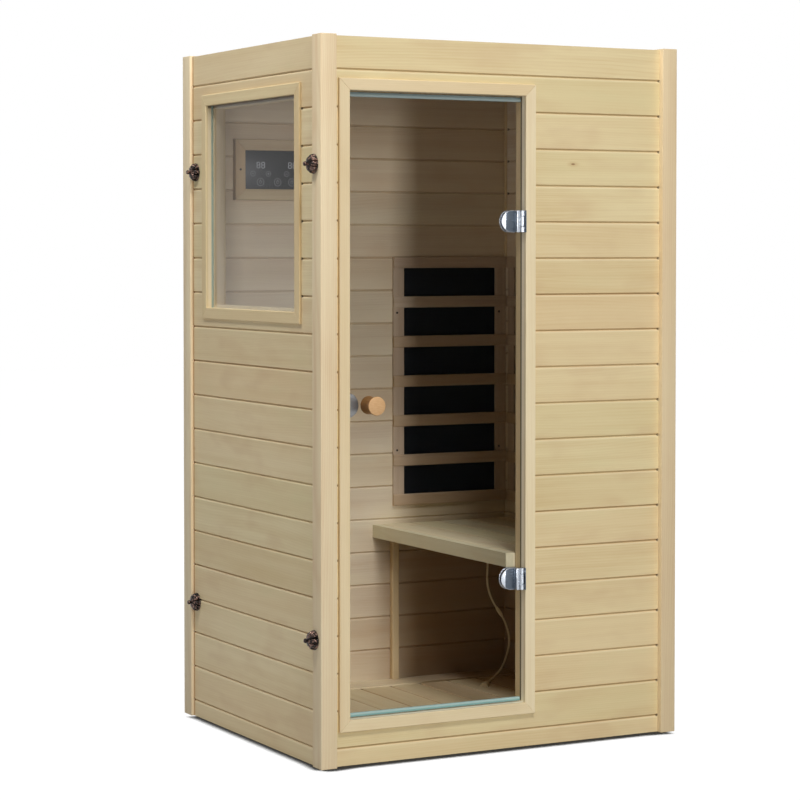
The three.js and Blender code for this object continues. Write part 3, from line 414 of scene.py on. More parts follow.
# Walls. Each panel is a batten frame with a skin of tongue-and-groove boards on both faces, laid level.
# The boards are 98 mm wide with a V at each joint, whose upper face lies in shade and looks brown.
FIRST_JOINT = 0.047
outside_boards = {
    "front_outer_boards": ("X", 31.0), "back_outer_boards": ("X", 32.0),
    "left_outer_boards": ("Y", 33.0), "right_outer_boards": ("Y", 34.0),
}
for node, (grain, seed) in outside_boards.items():
    foot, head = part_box(node)
    ends = [(head["XYZ".index(grain)], foot.z, head.z)]
    if node == "left_outer_boards":
        trim_low, trim_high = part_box("window_outer_trim")
        ends.append((trim_low.y, trim_low.z, trim_high.z))
    pale, warm = ("EFE0B8", "D9C296") if grain == "Y" else ("EDDDB0", "D8BF8E")
    # A line of painted shade in the joint beside the rear left post.
    crack = ("Y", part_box("rear_left_post")[0].y - 0.001) if node == "left_outer_boards" else None
    boards = timber(node + "_wood", grain, pale, warm, joints=("Z", FIRST_JOINT), seed=seed, groove=0.5,
                    pits=(grain, ends), crack=crack)
    dress(boards, node)
inside_boards = {
    "front_inner_boards": ("X", 41.0), "back_inner_boards": ("X", 42.0),
    "left_inner_boards": ("Y", 43.0), "right_inner_boards": ("Y", 44.0),
}
BEAD_WIDTH = 0.0135
bead_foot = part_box("back_heater_grille")[1].z
bead_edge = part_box("back_inner_boards")[0].y - BEAD_WIDTH
bench_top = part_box("bench_seat")[1].z
for node, (grain, seed) in inside_boards.items():
    # Spots of painted shade where the right wall's joints end beside the corner bead.
    holes = ("Y", [(bead_edge - 0.003, bead_foot, 2.0)]) if node == "right_inner_boards" else None
    pale, warm = ("F0E6D2", "DAC6AC") if node == "right_inner_boards" else ("E0D4B8", "CAB498")
    # The inside boards get painted shade under the bench, deepening towards the right.
    boards = timber(node + "_wood", grain, pale, warm, joints=("Z", FIRST_JOINT), seed=seed, groove=0.3,
                    vary=0.2, fade=0.3, pits=holes, painted_shade_span=(-0.10, 0.30, bench_top))
    dress(boards, node)
dress(timber("batten_wood", "Z", "DDC596", "C29F6C", seed=45.0),
      "left_wall_frame", "right_wall_frame", "back_wall_frame", "front_wall_frame")


# Corner bead. A thin planed strip on the right wall closes its upright joint with the back wall, from the
# top of the heaters up to the ceiling.
BEAD_THICK = 0.003
CLEAR = 0.0003
room_corner = Vector((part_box("right_inner_boards")[0].x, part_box("back_inner_boards")[0].y, 0.0))
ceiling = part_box("ceiling_boards")[0].z
bead_mesh = block(bmesh.new(), (room_corner.x - BEAD_THICK, bead_edge, bead_foot),
                  (room_corner.x - CLEAR, room_corner.y - CLEAR, ceiling - CLEAR), 0.001, 2)
fit("corner_bead", bead_mesh, "cabin", "trim_wood", timber("bead_wood", "Z", "EAD8AE", "D6BC8C", seed=51.0, knots=0.0))


# Ceiling and roof. The ceiling is boarded like the floor; a plain board covers the roof and carries the
# steel power box, which is powder coated and has its cable inlet at the back.
# The ceiling boards are much darker than the walls: painted shade.
dress(timber("ceiling_painted_shade_wood", "Y", "AC906A", "8E7250", joints=("X", 0.049), seed=61.0, groove=0.7), "ceiling_boards")
coated, coat_place = begin("powder_coated_steel", Metallic=0.2, Specular_IOR_Level=0.5)
coat_grain = coat_place.noise(coat_place.split(), 900.0, 2.0)
coat_cloud = coat_place.noise(coat_place.split(), 9.0, 2.0)
complete(coated, coat_grain, 0.0003, 0.5, Base_Color=coat_cloud.blend(colour("A9ACAE"), colour("BDC0C2")),
         Roughness=0.42 + coat_cloud * 0.15)
dress(coated, "power_box")


# Door frame. A lining boxes the opening and a flat mitred trim, proud of the boards, covers its joint;
# the grain turns the corner at each mitre. A slim strip of painted shade lies on the lining beside the glass,
# with painted light on the lining before it and on the sill.
def opening_of(lining, axis, cover):
    """The range along an axis and along Z of the opening inside a frame of that width."""
    low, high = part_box(lining)
    return tuple((low[i] + cover, high[i] - cover) for i in ("XYZ".index(axis), 2))


LINING = 0.015
door_opening = opening_of("door_lining", "X", LINING)
glass_low, glass_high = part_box("door_glass")
dress(timber("door_lining_wood", "Z", "EDDAB0", "DCC290", mitre=("X", *door_opening), seed=71.0, knots=0.0, vary=0.2,
             gap_shade_reveal_light=(glass_low.y - 0.001, glass_high.y - 0.002, glass_low.z)), "door_lining")
dress(timber("door_trim_wood", "Z", "F4E4C0", "E6D0A4", mitre=("X", *door_opening), seed=76.0, knots=0.0,
             vary=0.25, blotch=0.15, groove=0.1), "door_trim")


# Side window. A rebated lining holds one tinted pane; mitred trims cover its joints outside and inside.
# The pane is clear float glass with a faint, nearly neutral tint, and its polished edges look green.
window_opening = opening_of("window_lining", "Y", LINING)
window_trims = {"window_lining": 81.0, "window_outer_trim": 82.0, "window_inner_trim": 83.0}
for node, seed in window_trims.items():
    lining = node == "window_lining"
    # The lining is paler than the trims: painted light on the jambs seen through the pane; its head gets painted shade.
    pale, warm = ("F8EED0", "EAD8B0") if lining else ("E8D6AA", "D4B98A")
    dress(timber(node + "_wood", "Z", pale, warm, mitre=("Y", *window_opening), seed=seed, knots=0.0,
                 vary=0.25, blotch=0.15, groove=0.1, head=window_opening[1][1] if lining else None), node)


def tinted_glass(name, tint, edge):
    """Thin tinted glass: light passes with its tint, and glossy reflections grow towards a slanting view.

    edge: from the place, how much of the green polished edge shows, its colour, and how much the face shines.
    """
    finish = bpy.data.materials.new(name)
    finish.use_nodes = True
    tree = finish.node_tree
    tree.nodes.remove(tree.nodes["Principled BSDF"])
    place = Value(tree).node("TexCoord", out="Object")
    through = place.node("BsdfTransparent", None, {"Color": (*tint, 1.0)})
    mirror = place.node("BsdfAnisotropic", None, {"Color": (1.0, 1.0, 1.0, 1.0), "Roughness": 0.02})
    slant = place.node("Fresnel", None, {"IOR": 1.5})
    outer = 1 - place.node("NewGeometry", out="Backfacing")
    ripple = place.noise([axis * 14 for axis in place.split()], 1.0, 2.0)
    band, shade, shine = edge(*place.split(), ripple)
    pane = place.node("MixShader", None, {0: slant * outer * shine, 1: through, 2: mirror})
    polished = place.node("BsdfPrincipled", None, {"Base Color": shade, "Roughness": 0.18})
    whole = place.node("MixShader", None, {0: band, 1: pane, 2: polished})
    tree.links.new(whole.socket, tree.nodes["Material Output"].inputs["Surface"])
    return finish


PANE_TINT = (0.93, 0.93, 0.94)
pane_low, pane_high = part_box("window_glass")


def pane_rims(x, y, z, ripple):
    rims = (y > pane_high.y - 0.0008).larger(y < pane_low.y + 0.0008)
    # The pane mirrors more towards its sill: a painted reflection, stronger low down.
    shine = 0.80 - z.ramp(pane_low.z, pane_low.z + 0.34) * 0.36
    return rims * 0.8, ripple.blend(colour("9AB6AC"), colour("BED4CA")), shine


dress(tinted_glass("window_pane", PANE_TINT, pane_rims), "window_glass")


# Bench. Planed boards run from wall to wall over a deep front rail; the seat rests on two slim batten
# legs and on a ledger along the right wall.
RAIL = 0.030
bench_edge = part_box("bench_seat")[0].x
# The seat boards are a paler grey-green than the other wood: a painted sheen on their top.
dress(timber("bench_boards", "Y", "DAD9BC", "C2BD98", joints=("X", bench_edge + RAIL), seed=91.0, knots=0.1,
             groove=0.5), "bench_seat")
dress(timber("bench_leg_wood", "Z", "DDC29C", "C4A074", seed=92.0, knots=0.0), "bench_rear_leg", "bench_front_leg")
dress(timber("ledger_wood", "Y", "E3CDA0", "CAA977", seed=93.0, knots=0.0), "bench_ledger")


# Heaters. Seven eased slats and upright stiles stand in front of a black carbon plate, screwed through
# the stiles to the wall with small dark screws.
SLAT_HEIGHT = 0.034
SLAT_STEP = 0.119


def grille_wood(name, node, axis, seed):
    """Slats with level grain and stiles with upright grain, told apart by their height."""
    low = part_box(node)[0]
    finish, place = begin(name, Specular_IOR_Level=0.25)
    axes = dict(zip("XYZ", place.split()))
    rise = axes["Z"] - (low.z - 0.0005)
    slat = (rise % SLAT_STEP) < SLAT_HEIGHT + 0.001
    number = (rise / SLAT_STEP).math("FLOOR", rise / SLAT_STEP)
    draw = place.node("TexWhiteNoise", {"noise_dimensions": "1D"}, {"W": number + seed}, "Color")
    first, second, third = draw.split()
    along = slat * (axes[axis] + first * 7) + (1 - slat) * axes["Z"]
    across = slat * (axes["Z"] + second * 3) + (1 - slat) * axes[axis]
    streak = place.noise((along * 1.6, across * 70, second), 1.0, 3.0, 0.6)
    fibre = place.noise((along * 16, across * 640, third), 1.0, 1.0)
    cloud = place.noise((along * 3, across * 9, first), 1.0, 2.0)
    tone = (streak - 0.5) * 0.8 + (cloud - 0.5) * 0.5 + (fibre - 0.5) * 0.3 + 0.45
    shade = tone.ramp(0.0, 1.0).blend(colour("D0BEA4"), colour("B2987E"))
    shade = (slat * second * 0.5).blend(shade, colour("BC9C70"))
    return complete(finish, fibre * 0.5 + streak, 0.0004, 0.35, Base_Color=shade,
                    Roughness=0.52 + (streak - 0.5) * 0.25)


dress(grille_wood("back_slat_wood", "back_heater_grille", "X", 101.0), "back_heater_grille")
dress(grille_wood("side_slat_wood", "side_heater_grille", "Y", 102.0), "side_heater_grille")
carbon, carbon_place = begin("carbon_plate", Specular_IOR_Level=0.2)
carbon_x, carbon_y, carbon_z = carbon_place.split()
weave = carbon_place.noise((carbon_x * 260, carbon_y * 260, carbon_z * 260), 1.0, 1.0)
cloudy = carbon_place.noise((carbon_x * 8, carbon_y * 8, carbon_z * 8), 1.0, 3.0)
complete(carbon, weave, 0.0003, 0.4, Base_Color=cloudy.blend(colour("03060A"), colour("080D13")),
         Roughness=0.45 + cloudy * 0.2)
dress(carbon, "back_heater", "side_heater")


# Control panel. A mitred wooden frame is screwed to the back wall round a touch panel of dark glass, with
# two lit two-figure readouts, round touch marks under them and a row of function marks at the foot.
display_low, display_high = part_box("control_display")
frame_opening = ((display_low.x, display_high.x), (display_low.z, display_high.z))
dress(timber("control_frame_wood", "Z", "C8B692", "AA9070", mitre=("X", *frame_opening), seed=111.0, knots=0.0,
             groove=0.3), "control_frame")
panel_glass, panel_place = begin("panel_glass", Specular_IOR_Level=0.3)
panel_x, panel_y, panel_z = panel_place.split()
smear = panel_place.noise((panel_x * 12, panel_y * 12, panel_z * 20), 1.0, 3.0)
complete(panel_glass, Base_Color=smear.blend(colour("14171A"), colour("1C2023")), Roughness=0.30 + smear * 0.2)
lit, lit_place = begin("lit_figures", Roughness=0.3, Emission_Strength=0.24)
glow = lit_place.noise([axis * 160 for axis in lit_place.split()], 1.0, 1.0)
complete(lit, Base_Color=glow.blend(colour("8E9296"), colour("C4C8CC")),
         Emission_Color=glow.blend(colour("9CA2A8"), colour("D6DADE")))
dim, dim_place = begin("printed_marks", Roughness=0.5, Emission_Strength=0.05)
wear = dim_place.noise([axis * 220 for axis in dim_place.split()], 1.0, 2.0)
mark_shade = wear.blend(colour("7A7E80"), colour("9CA0A2"))
complete(dim, Base_Color=mark_shade, Emission_Color=mark_shade)

panel_mesh = block(bmesh.new(), display_low, display_high, 0.0008, 2)
fit("control_panel_glass", panel_mesh, "cabin", "display", panel_glass, replaces=["control_display"])
MARK_PROUD = 0.0004
BAR = 0.0016


def bar(mesh, x, z, width, height):
    """A raised mark on the face of the panel, given by its middle and size."""
    low = (x - width / 2, display_low.y - MARK_PROUD, z - height / 2)
    return block(mesh, low, (x + width / 2, display_low.y, z + height / 2))


def hoop(mesh, x, z, radius, width):
    """A raised ring on the face of the panel."""
    face = Matrix.Translation((x, display_low.y, z)) @ Matrix.Rotation(math.pi / 2, 4, "X")
    loops = []
    for size in (radius, radius - width):
        ring = bmesh.ops.create_circle(mesh, cap_ends=False, segments=32, radius=size, matrix=face)["verts"]
        loops += list({edge for vert in ring for edge in vert.link_edges})
    faces = bmesh.ops.bridge_loops(mesh, edges=loops)["faces"]
    raised = bmesh.ops.extrude_face_region(mesh, geom=faces)["geom"]
    lifted = [part for part in raised if isinstance(part, bmesh.types.BMVert)]
    bmesh.ops.translate(mesh, vec=(0.0, -MARK_PROUD, 0.0), verts=lifted)
    return mesh


FIGURE_WIDTH = 0.0090
FIGURE_HEIGHT = 0.0166
figures = bmesh.new()
readout_z = display_high.z - 0.042
for readout_x in (display_low.x + 0.050, display_low.x + 0.151):
    for figure_x in (readout_x - 0.0075, readout_x + 0.0075):
        for step in (-1, 0, 1):
            bar(figures, figure_x, readout_z + step * FIGURE_HEIGHT / 2, FIGURE_WIDTH - BAR, BAR)
        for side in (-1, 1):
            for step in (-1, 1):
                bar(figures, figure_x + side * FIGURE_WIDTH / 2, readout_z + step * FIGURE_HEIGHT / 4, BAR,
                    FIGURE_HEIGHT / 2 - BAR)
fit("readout_figures", figures, "cabin", "display", lit)
marks = bmesh.new()
touch_z = display_high.z - 0.067
for touch_x in (display_low.x + 0.025, display_low.x + 0.074, display_low.x + 0.133, display_low.x + 0.182):
    hoop(marks, touch_x, touch_z, 0.0080, 0.0010)
    bar(marks, touch_x, touch_z, 0.0062, 0.0016)
for touch_x in (display_low.x + 0.074, display_low.x + 0.182):
    bar(marks, touch_x, touch_z, 0.0016, 0.0062)
foot_z = display_high.z - 0.091
for foot_x in (display_low.x + 0.049, display_low.x + 0.104, display_low.x + 0.150):
    hoop(marks, foot_x, foot_z, 0.0115, 0.0012)
    hoop(marks, foot_x, foot_z, 0.0045, 0.0010)
    bar(marks, foot_x, foot_z + 0.0045, 0.0012, 0.0060)
fit("touch_marks", marks, "cabin", "display", dim)


# Small screws. Dark domed screws with a round recess hold the heater stiles and the control frame.
SCREW_RADIUS = 0.0034
dark_steel, dark_place = begin("dark_screw_steel", Metallic=0.8)
tarnish = dark_place.noise(dark_place.split(), 700.0, 2.0)
complete(dark_steel, Base_Color=tarnish.blend(colour("2A2622"), colour("4A4540")), Roughness=0.35 + tarnish * 0.2)


def merge(mesh, part):
    """Add a finished part to a mesh."""
    piece = bpy.data.meshes.new("part")
    part.to_mesh(piece)
    part.free()
    mesh.from_mesh(piece)
    bpy.data.meshes.remove(piece)
    return mesh


def screw(mesh, place, axis):
    """A domed screw head with a round recess, seated at a place and facing along an axis."""
    head = turn([(0.0, 0.0), (SCREW_RADIUS, 0.0), (SCREW_RADIUS, 0.0004), (SCREW_RADIUS * 0.7, 0.0010), (0.0014, 0.0012),
                 (0.0012, 0.0005), (0.0, 0.0005)], 16)
    head.transform(Matrix.Translation(place) @ Vector((0.0, 0.0, 1.0)).rotation_difference(axis).to_matrix().to_4x4())
    merge(mesh, head)


OUT = Vector((0.0, -1.0, 0.0))
grille_low, grille_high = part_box("back_heater_grille")
STILE = 0.036
stile_face = grille_low.y + 0.0045
screws = bmesh.new()
for stile_x in (grille_low.x + 0.0125, grille_high.x - STILE + 0.0125):
    for rise in (0.1666, 0.5800):
        screw(screws, Vector((stile_x, stile_face, grille_low.z + rise)), OUT)
fit("heater_screws", screws, "cabin", "dark_plastic", dark_steel)
frame_low, frame_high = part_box("control_frame")
screws = bmesh.new()
for screw_x in (frame_low.x + 0.016, frame_high.x - 0.016):
    screw(screws, Vector((screw_x, frame_low.y, (frame_low.z + frame_high.z) / 2)), OUT)
fit("control_screws", screws, "cabin", "dark_plastic", dark_steel)


# Door leaf. One sheet of toughened, lightly tinted glass, eight millimetres thick; its top and bottom
# edges show as narrow bands: the green polished edge, and painted shade in the gap beside it.
leaf_low, leaf_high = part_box("door_glass")
TOP_BAND = 0.012
FOOT_BAND = 0.010


def door_bands(x, y, z, ripple):
    top = z > leaf_high.z - TOP_BAND
    foot = z < leaf_low.z + FOOT_BAND
    # The outer half of each band is painted shade in the gap between glass and lining; the inner half is the green
    # polished edge.
    top_split = (z - (leaf_high.z - TOP_BAND / 2)).ramp(-0.002, 0.002) * 0.7 + ripple * 0.3
    foot_split = (z - (leaf_low.z + FOOT_BAND / 2)).ramp(-0.002, 0.002) * 0.7 + ripple * 0.3
    head_shade = top_split.blend(colour("A7B9B8"), colour("5C6B69"))
    foot_shade = foot_split.blend(colour("6F9F9E"), colour("B4D2CE"))
    return (top + foot) * 0.9, foot.blend(head_shade, foot_shade), 0.03


dress(tinted_glass("door_pane", (0.965, 0.965, 0.975), door_bands), "door_glass")


# Hinges. A polished clamp with a round, sloped end grips the glass from both faces and carries the middle
# knuckle; the leaf is screwed to the lining and carries the outer knuckles.
HINGE_HALF = 0.0295
CLAMP_TIP = -0.0550
BARREL = 0.006
FACET = 0.0110
SLOPE = 0.0036
MIDDLE_HALF = 0.0132
pin_x, pin_y = 0.059, -0.438
polished, polished_place = begin("polished_chrome", Metallic=1.0)
brushed = polished_place.noise([axis * 300 for axis in polished_place.split()], 1.0, 2.0)
complete(polished, Base_Color=brushed.blend(colour("A9AFB8"), colour("C4C9D0")), Roughness=0.24 + brushed * 0.08)
# A darker chrome for the clamp faces and the leaf plate: a painted reflection of dark surroundings on the clamp, and
# painted shade on the leaf.
shaded_chrome, shaded_chrome_place = begin("painted_shade_chrome", Metallic=1.0)
shaded_chrome_x, shaded_chrome_y, shaded_chrome_z = shaded_chrome_place.split()
hair = shaded_chrome_place.noise((shaded_chrome_x * 40, shaded_chrome_y * 40, shaded_chrome_z * 1500), 1.0, 2.0)
complete(shaded_chrome, Base_Color=hair.blend(colour("4C535C"), colour("5E6670")), Roughness=0.22 + hair * 0.12)


def half_round_plate(mesh, low, high, round_low, rim, facet=0.0, drop=0.0, outer=0):
    """A plate in the X-Z plane with one end rounded to a half circle and its rims eased; faces get slot 1.

    facet and drop: the width and depth of a slope ground on the round end of the low (0) or high (1) face.
    """
    part = block(bmesh.new(), low, high)
    end = low[0] if round_low else high[0]
    corners = [edge for edge in part.edges if all(abs(v.co.x - end) < 1e-6 for v in edge.verts)
               and abs(edge.verts[0].co.y - edge.verts[1].co.y) > 1e-6]
    bmesh.ops.bevel(part, geom=corners, offset=(high[2] - low[2]) * 0.4995, offset_type="OFFSET", segments=20,
                    profile=0.5, affect="EDGES", material=-1, clamp_overlap=False)
    border = low[0] + facet
    if facet:
        bmesh.ops.bisect_plane(part, geom=part.verts[:] + part.edges[:] + part.faces[:], plane_co=(border, 0.0, 0.0),
                               plane_no=(1.0, 0.0, 0.0), dist=1e-6)
        for vert in part.verts:
            if abs(vert.co.y - (low, high)[outer][1]) < 1e-6 and vert.co.x < border:
                vert.co.y += (drop, -drop)[outer] * (border - vert.co.x) / facet
    part.normal_update()
    broad = {face for face in part.faces if abs(face.normal.y) > 0.9}
    rims = [edge for edge in part.edges if sum(face in broad for face in edge.link_faces) == 1]
    for face in broad:
        face.material_index = int(face.calc_center_median().x > border or not facet)
    bmesh.ops.bevel(part, geom=rims, offset=rim, offset_type="OFFSET", segments=3, profile=0.5, affect="EDGES", material=0)
    return merge(mesh, part)


def knuckle(mesh, low, high):
    """A hinge knuckle round the pin, with eased ends."""
    ease = 0.0008
    merge(mesh, turn([(0.0, low), (BARREL - ease, low), (BARREL, low + ease), (BARREL, high - ease),
                      (BARREL - ease, high), (0.0, high)], 32))


for name, level in (("upper_hinge", 1.421), ("lower_hinge", 0.457)):
    clamp = bmesh.new()
    half_round_plate(clamp, (CLAMP_TIP, 0.0127, -HINGE_HALF), (-0.001, 0.0187, HINGE_HALF), True, 0.0010, FACET, SLOPE, 0)
    half_round_plate(clamp, (CLAMP_TIP, 0.0273, -HINGE_HALF), (-0.001, 0.0333, HINGE_HALF), True, 0.0010, FACET, SLOPE, 1)
    block(clamp, (-0.0138, 0.0130, -0.0198), (-0.0012, 0.0330, 0.0198))
    block(clamp, (-0.0160, 0.0002, -HINGE_HALF), (-0.0063, 0.0140, HINGE_HALF), 0.0012)
    block(clamp, (-0.0066, 0.0005, -MIDDLE_HALF), (0.0, 0.0055, MIDDLE_HALF))
    knuckle(clamp, -MIDDLE_HALF, MIDDLE_HALF)
    clamp.transform(Matrix.Translation((pin_x, pin_y, level)))
    fit(name + "_clamp_plates", clamp, "door", "chrome", polished, shaded_chrome, replaces=[name + "_clamp"])
    leaf = bmesh.new()
    block(leaf, (0.0063, -0.0077, -HINGE_HALF), (0.0087, 0.0110, HINGE_HALF), 0.0006)
    # The leaf plate takes the darker chrome: painted shade.
    for face in leaf.faces:
        face.material_index = 1
    for low, high in ((-HINGE_HALF, -0.01425), (0.01425, HINGE_HALF)):
        knuckle(leaf, low, high)
        block(leaf, (0.0, -0.0030, low), (0.0075, 0.0030, high))
    leaf.transform(Matrix.Translation((pin_x, pin_y, level)))
    fit(name + "_leaf_plate", leaf, "cabin", "chrome", polished, shaded_chrome, replaces=[name + "_leaf"])


# Door knob and catch. A turned wooden knob is bolted through the glass with a steel washer inside; a
# round-ended steel strike beside it meets the magnetic catch on the lining.
knob_low, knob_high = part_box("door_knob")
knob_x = (knob_low.x + knob_high.x) / 2
knob_z = (knob_low.z + knob_high.z) / 2
knob_mesh = turn([
    (0.0, 0.0183), (0.0048, 0.0183), (0.0048, 0.0), (0.0232, 0.0), (0.0240, 0.0008), (0.0236, 0.0050), (0.0224, 0.0120),
    (0.0214, 0.0200), (0.0210, 0.0280), (0.0214, 0.0350), (0.0226, 0.0405), (0.0240, 0.0435), (0.0248, 0.0455),
    (0.0250, 0.0470), (0.0247, 0.0485), (0.0238, 0.0495), (0.0225, 0.0500), (0.0, 0.0500),
], 64)
knob_mesh.transform(Matrix.Translation((knob_x, knob_high.y, knob_z)) @ Matrix.Rotation(math.pi / 2, 4, "X"))
knob_wood, knob_place = begin("turned_knob_wood", Specular_IOR_Level=0.3)
across, along, upward = knob_place.split()
across = across - knob_x
upward = upward - knob_z
ring_noise = knob_place.noise((across * 90, along * 6, upward * 420), 1.0, 3.0, 0.6)
end_face = 1 - (along - (knob_high.y - 0.0500)).ramp(0.0006, 0.0022)
# The knob's sides are much darker than its end grain: painted shade on the side away from the light.
painted_shade_side = ring_noise.blend(colour("7A5128"), colour("AD7F4C"))
end_shade = ring_noise.blend(colour("C08E58"), colour("E2BC8E"))
complete(knob_wood, ring_noise, 0.0003, 0.4, Base_Color=end_face.blend(painted_shade_side, end_shade),
         Roughness=0.45 + ring_noise * 0.2)
fit("door_knob_turned", knob_mesh, "door", "knob_wood", knob_wood, replaces=["door_knob"])
steel, steel_place = begin("brushed_steel", Metallic=0.9)
steel_x, steel_y, steel_z = steel_place.split()
lines = steel_place.noise((steel_x * 30, steel_y * 30, steel_z * 1800), 1.0, 2.0)
complete(steel, Base_Color=lines.blend(colour("7A7A78"), colour("9C9C99")), Roughness=0.32 + lines * 0.15)
bolt_low, bolt_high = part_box("knob_bolt")
HEX_FACE = 0.0062
bolt_mesh = turn([(0.0, 0.0), (0.0138, 0.0), (0.0140, 0.0004), (0.0140, 0.0016), (0.0134, 0.0020), (0.0068, 0.0020),
                  (0.0068, 0.0044), (0.0056, 0.0070), (0.0026, 0.0070), (0.0026, 0.0045), (0.0, 0.0045)], 48)
bolt_mesh.transform(Matrix.Translation((knob_x, leaf_high.y + CLEAR, knob_z)) @ Matrix.Rotation(-math.pi / 2, 4, "X"))
fit("knob_bolt_head", bolt_mesh, "door", "chrome", polished, replaces=["knob_bolt"])
strike_low, strike_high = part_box("door_strike")
strike_mesh = half_round_plate(bmesh.new(), strike_low, strike_high, False, 0.0008)
fit("door_strike_plate", strike_mesh, "door", "strike_steel", steel, steel, replaces=["door_strike"])


# Rosette latches. Cast bronze knobs turn the bolts that draw the left wall to the posts: a ribbed dome on a
# round foot, a thin neck and a ball at its tip, with patches of rubbed copper on a dark patina.
bronze, bronze_place = begin("patinated_bronze", Metallic=0.75)
patina = bronze_place.noise(bronze_place.split(), 190.0, 4.0, 0.65)
rub = bronze_place.noise(bronze_place.split(), 75.0, 2.0)
complete(bronze, patina, 0.0005, 0.6,
         Base_Color=(patina * 0.7 + rub * 0.3).ramp(0.49, 0.60).blend(colour("0E0907"), colour("83665A")),
         Roughness=0.14 + patina * 0.2)
LOBES = 8
DOME_RADIUS = 0.026
VALLEY = 0.30
DOME_RANGE = (0.0016, 0.0230)
ROSETTE = [
    (0.0, 0.0003), (0.0250, 0.0003), (0.0258, 0.0010), (0.0260, 0.0026), (0.0254, 0.0040), (0.0248, 0.0048),
    (0.0250, 0.0060), (0.0246, 0.0084), (0.0234, 0.0110), (0.0214, 0.0134), (0.0186, 0.0156), (0.0152, 0.0176),
    (0.0118, 0.0190), (0.0086, 0.0202), (0.0062, 0.0211), (0.0046, 0.0218), (0.0042, 0.0224), (0.0046, 0.0230),
    (0.0054, 0.0238), (0.0060, 0.0250), (0.0062, 0.0263), (0.0060, 0.0277), (0.0052, 0.0293), (0.0038, 0.0304),
    (0.0020, 0.0310), (0.0, 0.0312),
]
for end in ("front", "rear"):
    for level in ("upper", "lower"):
        node = f"{end}_{level}_latch"
        low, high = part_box(node)
        seat = Vector((high.x + ROSETTE[0][1], (low.y + high.y) / 2, (low.z + high.z) / 2))
        latch = turn(ROSETTE, 96)
        for vert in latch.verts:
            reach = math.hypot(vert.co.x, vert.co.y)
            if DOME_RANGE[0] < vert.co.z < DOME_RANGE[1]:
                rib = abs(math.cos(LOBES * math.atan2(vert.co.y, vert.co.x) / 2)) ** 0.6
                pull = 1.0 - VALLEY * min(1.0, 2.0 * reach / DOME_RADIUS) * (1.0 - rib)
                vert.co.x *= pull
                vert.co.y *= pull
        latch.transform(Matrix.Translation(seat) @ Matrix.Rotation(-math.pi / 2, 4, "Y"))
        fit(node + "_rosette", latch, node + "_knob", "bronze", bronze, replaces=[node])


# Studio. A plain white floor, dimmed by a painted contact shadow along the cabin's foot, and a white room.
# A low and a high soft box before the cabin light its front and shine in through the door, on the wall and
# on the floor; two on the left light the left side.
floor_mesh = bmesh.new()
bmesh.ops.create_grid(floor_mesh, x_segments=2, y_segments=2, size=20.0)
floor_data = bpy.data.meshes.new("studio_floor")
floor_mesh.to_mesh(floor_data)
floor_mesh.free()
studio_floor = bpy.data.objects.new("studio_floor", floor_data)
bpy.context.scene.collection.objects.link(studio_floor)
paper = bpy.data.materials.new("white_paper")
paper.use_nodes = True
paper.node_tree.nodes.remove(paper.node_tree.nodes["Principled BSDF"])
ground = Value(paper.node_tree)


def shows_background(tree):
    """1 for rays from the camera, a mirror or glass; 0 for rays that carry light."""
    seen = [Value(tree).node("LightPath", out=kind) for kind in ("Is Camera Ray", "Is Glossy Ray", "Is Transmission Ray")]
    return seen[0].larger(seen[1]).larger(seen[2])


bounce = ground.node("BsdfDiffuse", None, {"Color": (0.40, 0.40, 0.40, 1.0)})
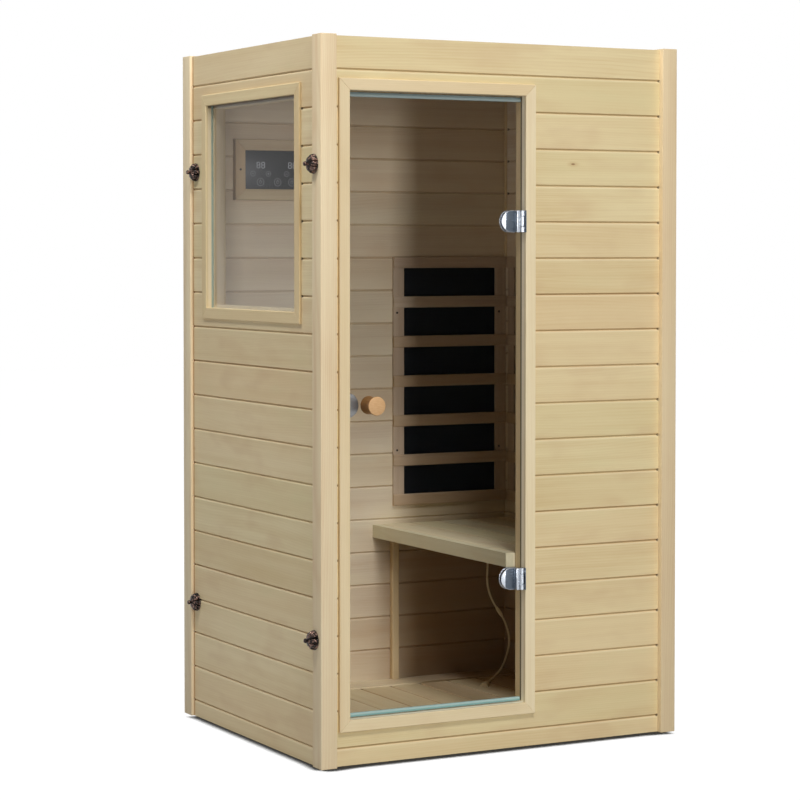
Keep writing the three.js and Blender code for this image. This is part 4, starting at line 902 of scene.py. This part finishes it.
# Painted contact shadow: the floor's white dims where a short cone leaning forward over it is closed by the cabin, and
# the shadow ends past the front right and rear left posts.
lean = ground.node("CombineXYZ", None, {0: 0.06, 1: 0.42, 2: 0.90})
open_share = ground.node("AmbientOcclusion", {"samples": 16}, {"Distance": 0.065, "Normal": lean}, "AO")
ground_x, ground_y, _ = ground.node("TexCoord", out="Object").split()
right_end = ground_x.ramp(0.515, 0.540) * (1 - ground_y.ramp(-0.40, -0.36))
rear_end = ground_y.ramp(0.375, 0.400) * (1 - ground_x.ramp(-0.50, -0.46))
lit_share = open_share.ramp(0.62, 0.76).larger(right_end).larger(rear_end)
white = ground.node("Emission", None, {"Color": (1.0, 1.0, 1.0, 1.0), "Strength": lit_share})
shadowed = ground.node("BsdfDiffuse", None, {"Color": (0.06, 0.06, 0.06, 1.0)})
seen_floor = ground.node("AddShader", None, {0: white, 1: shadowed})
floor_look = ground.node("MixShader", None, {0: shows_background(paper.node_tree), 1: bounce, 2: seen_floor})
paper.node_tree.links.new(floor_look.socket, paper.node_tree.nodes["Material Output"].inputs["Surface"])
floor_data.materials.append(paper)

room = bpy.data.worlds.new("white_room")
room.use_nodes = True
bpy.context.scene.world = room
air = Value(room.node_tree)
LIGHT_LEVEL = 0.022
strength = LIGHT_LEVEL + shows_background(room.node_tree) * (1.0 - LIGHT_LEVEL)
backdrop = room.node_tree.nodes["Background"]
backdrop.inputs["Color"].default_value = (1.0, 1.0, 1.0, 1.0)
room.node_tree.links.new(strength.socket, backdrop.inputs["Strength"])


def soft_box(name, place, target, width, height, power):
    """A soft box that faces a target."""
    lamp = bpy.data.lights.new(name, "AREA")
    lamp.shape = "RECTANGLE"
    lamp.size = width
    lamp.size_y = height
    lamp.energy = power
    made = bpy.data.objects.new(name, lamp)
    made.location = place
    made.rotation_euler = (Vector(target) - Vector(place)).to_track_quat("-Z", "Y").to_euler()
    bpy.context.scene.collection.objects.link(made)


soft_box("front_low_box", (-0.78, -9.0, 1.9), (0.0, 0.0, 1.0), 1.05, 3.2, 272.0)
soft_box("front_high_box", (-0.90, -5.0, 7.3), (0.0, 0.0, 1.0), 2.0, 1.5, 310.0)
soft_box("left_low_box", (-4.6, -0.6, 1.2), (0.0, -0.6, 1.2), 5.0, 1.8, 29.0)
soft_box("left_high_box", (-2.2, -0.3, 4.4), (-0.3, -0.3, 1.0), 0.9, 0.7, 66.0)
soft_box("back_fill_box", (3.2, 5.0, 3.0), (0.0, 0.0, 1.0), 3.0, 3.0, 110.0)
bpy.context.scene.view_settings.view_transform = "Standard"
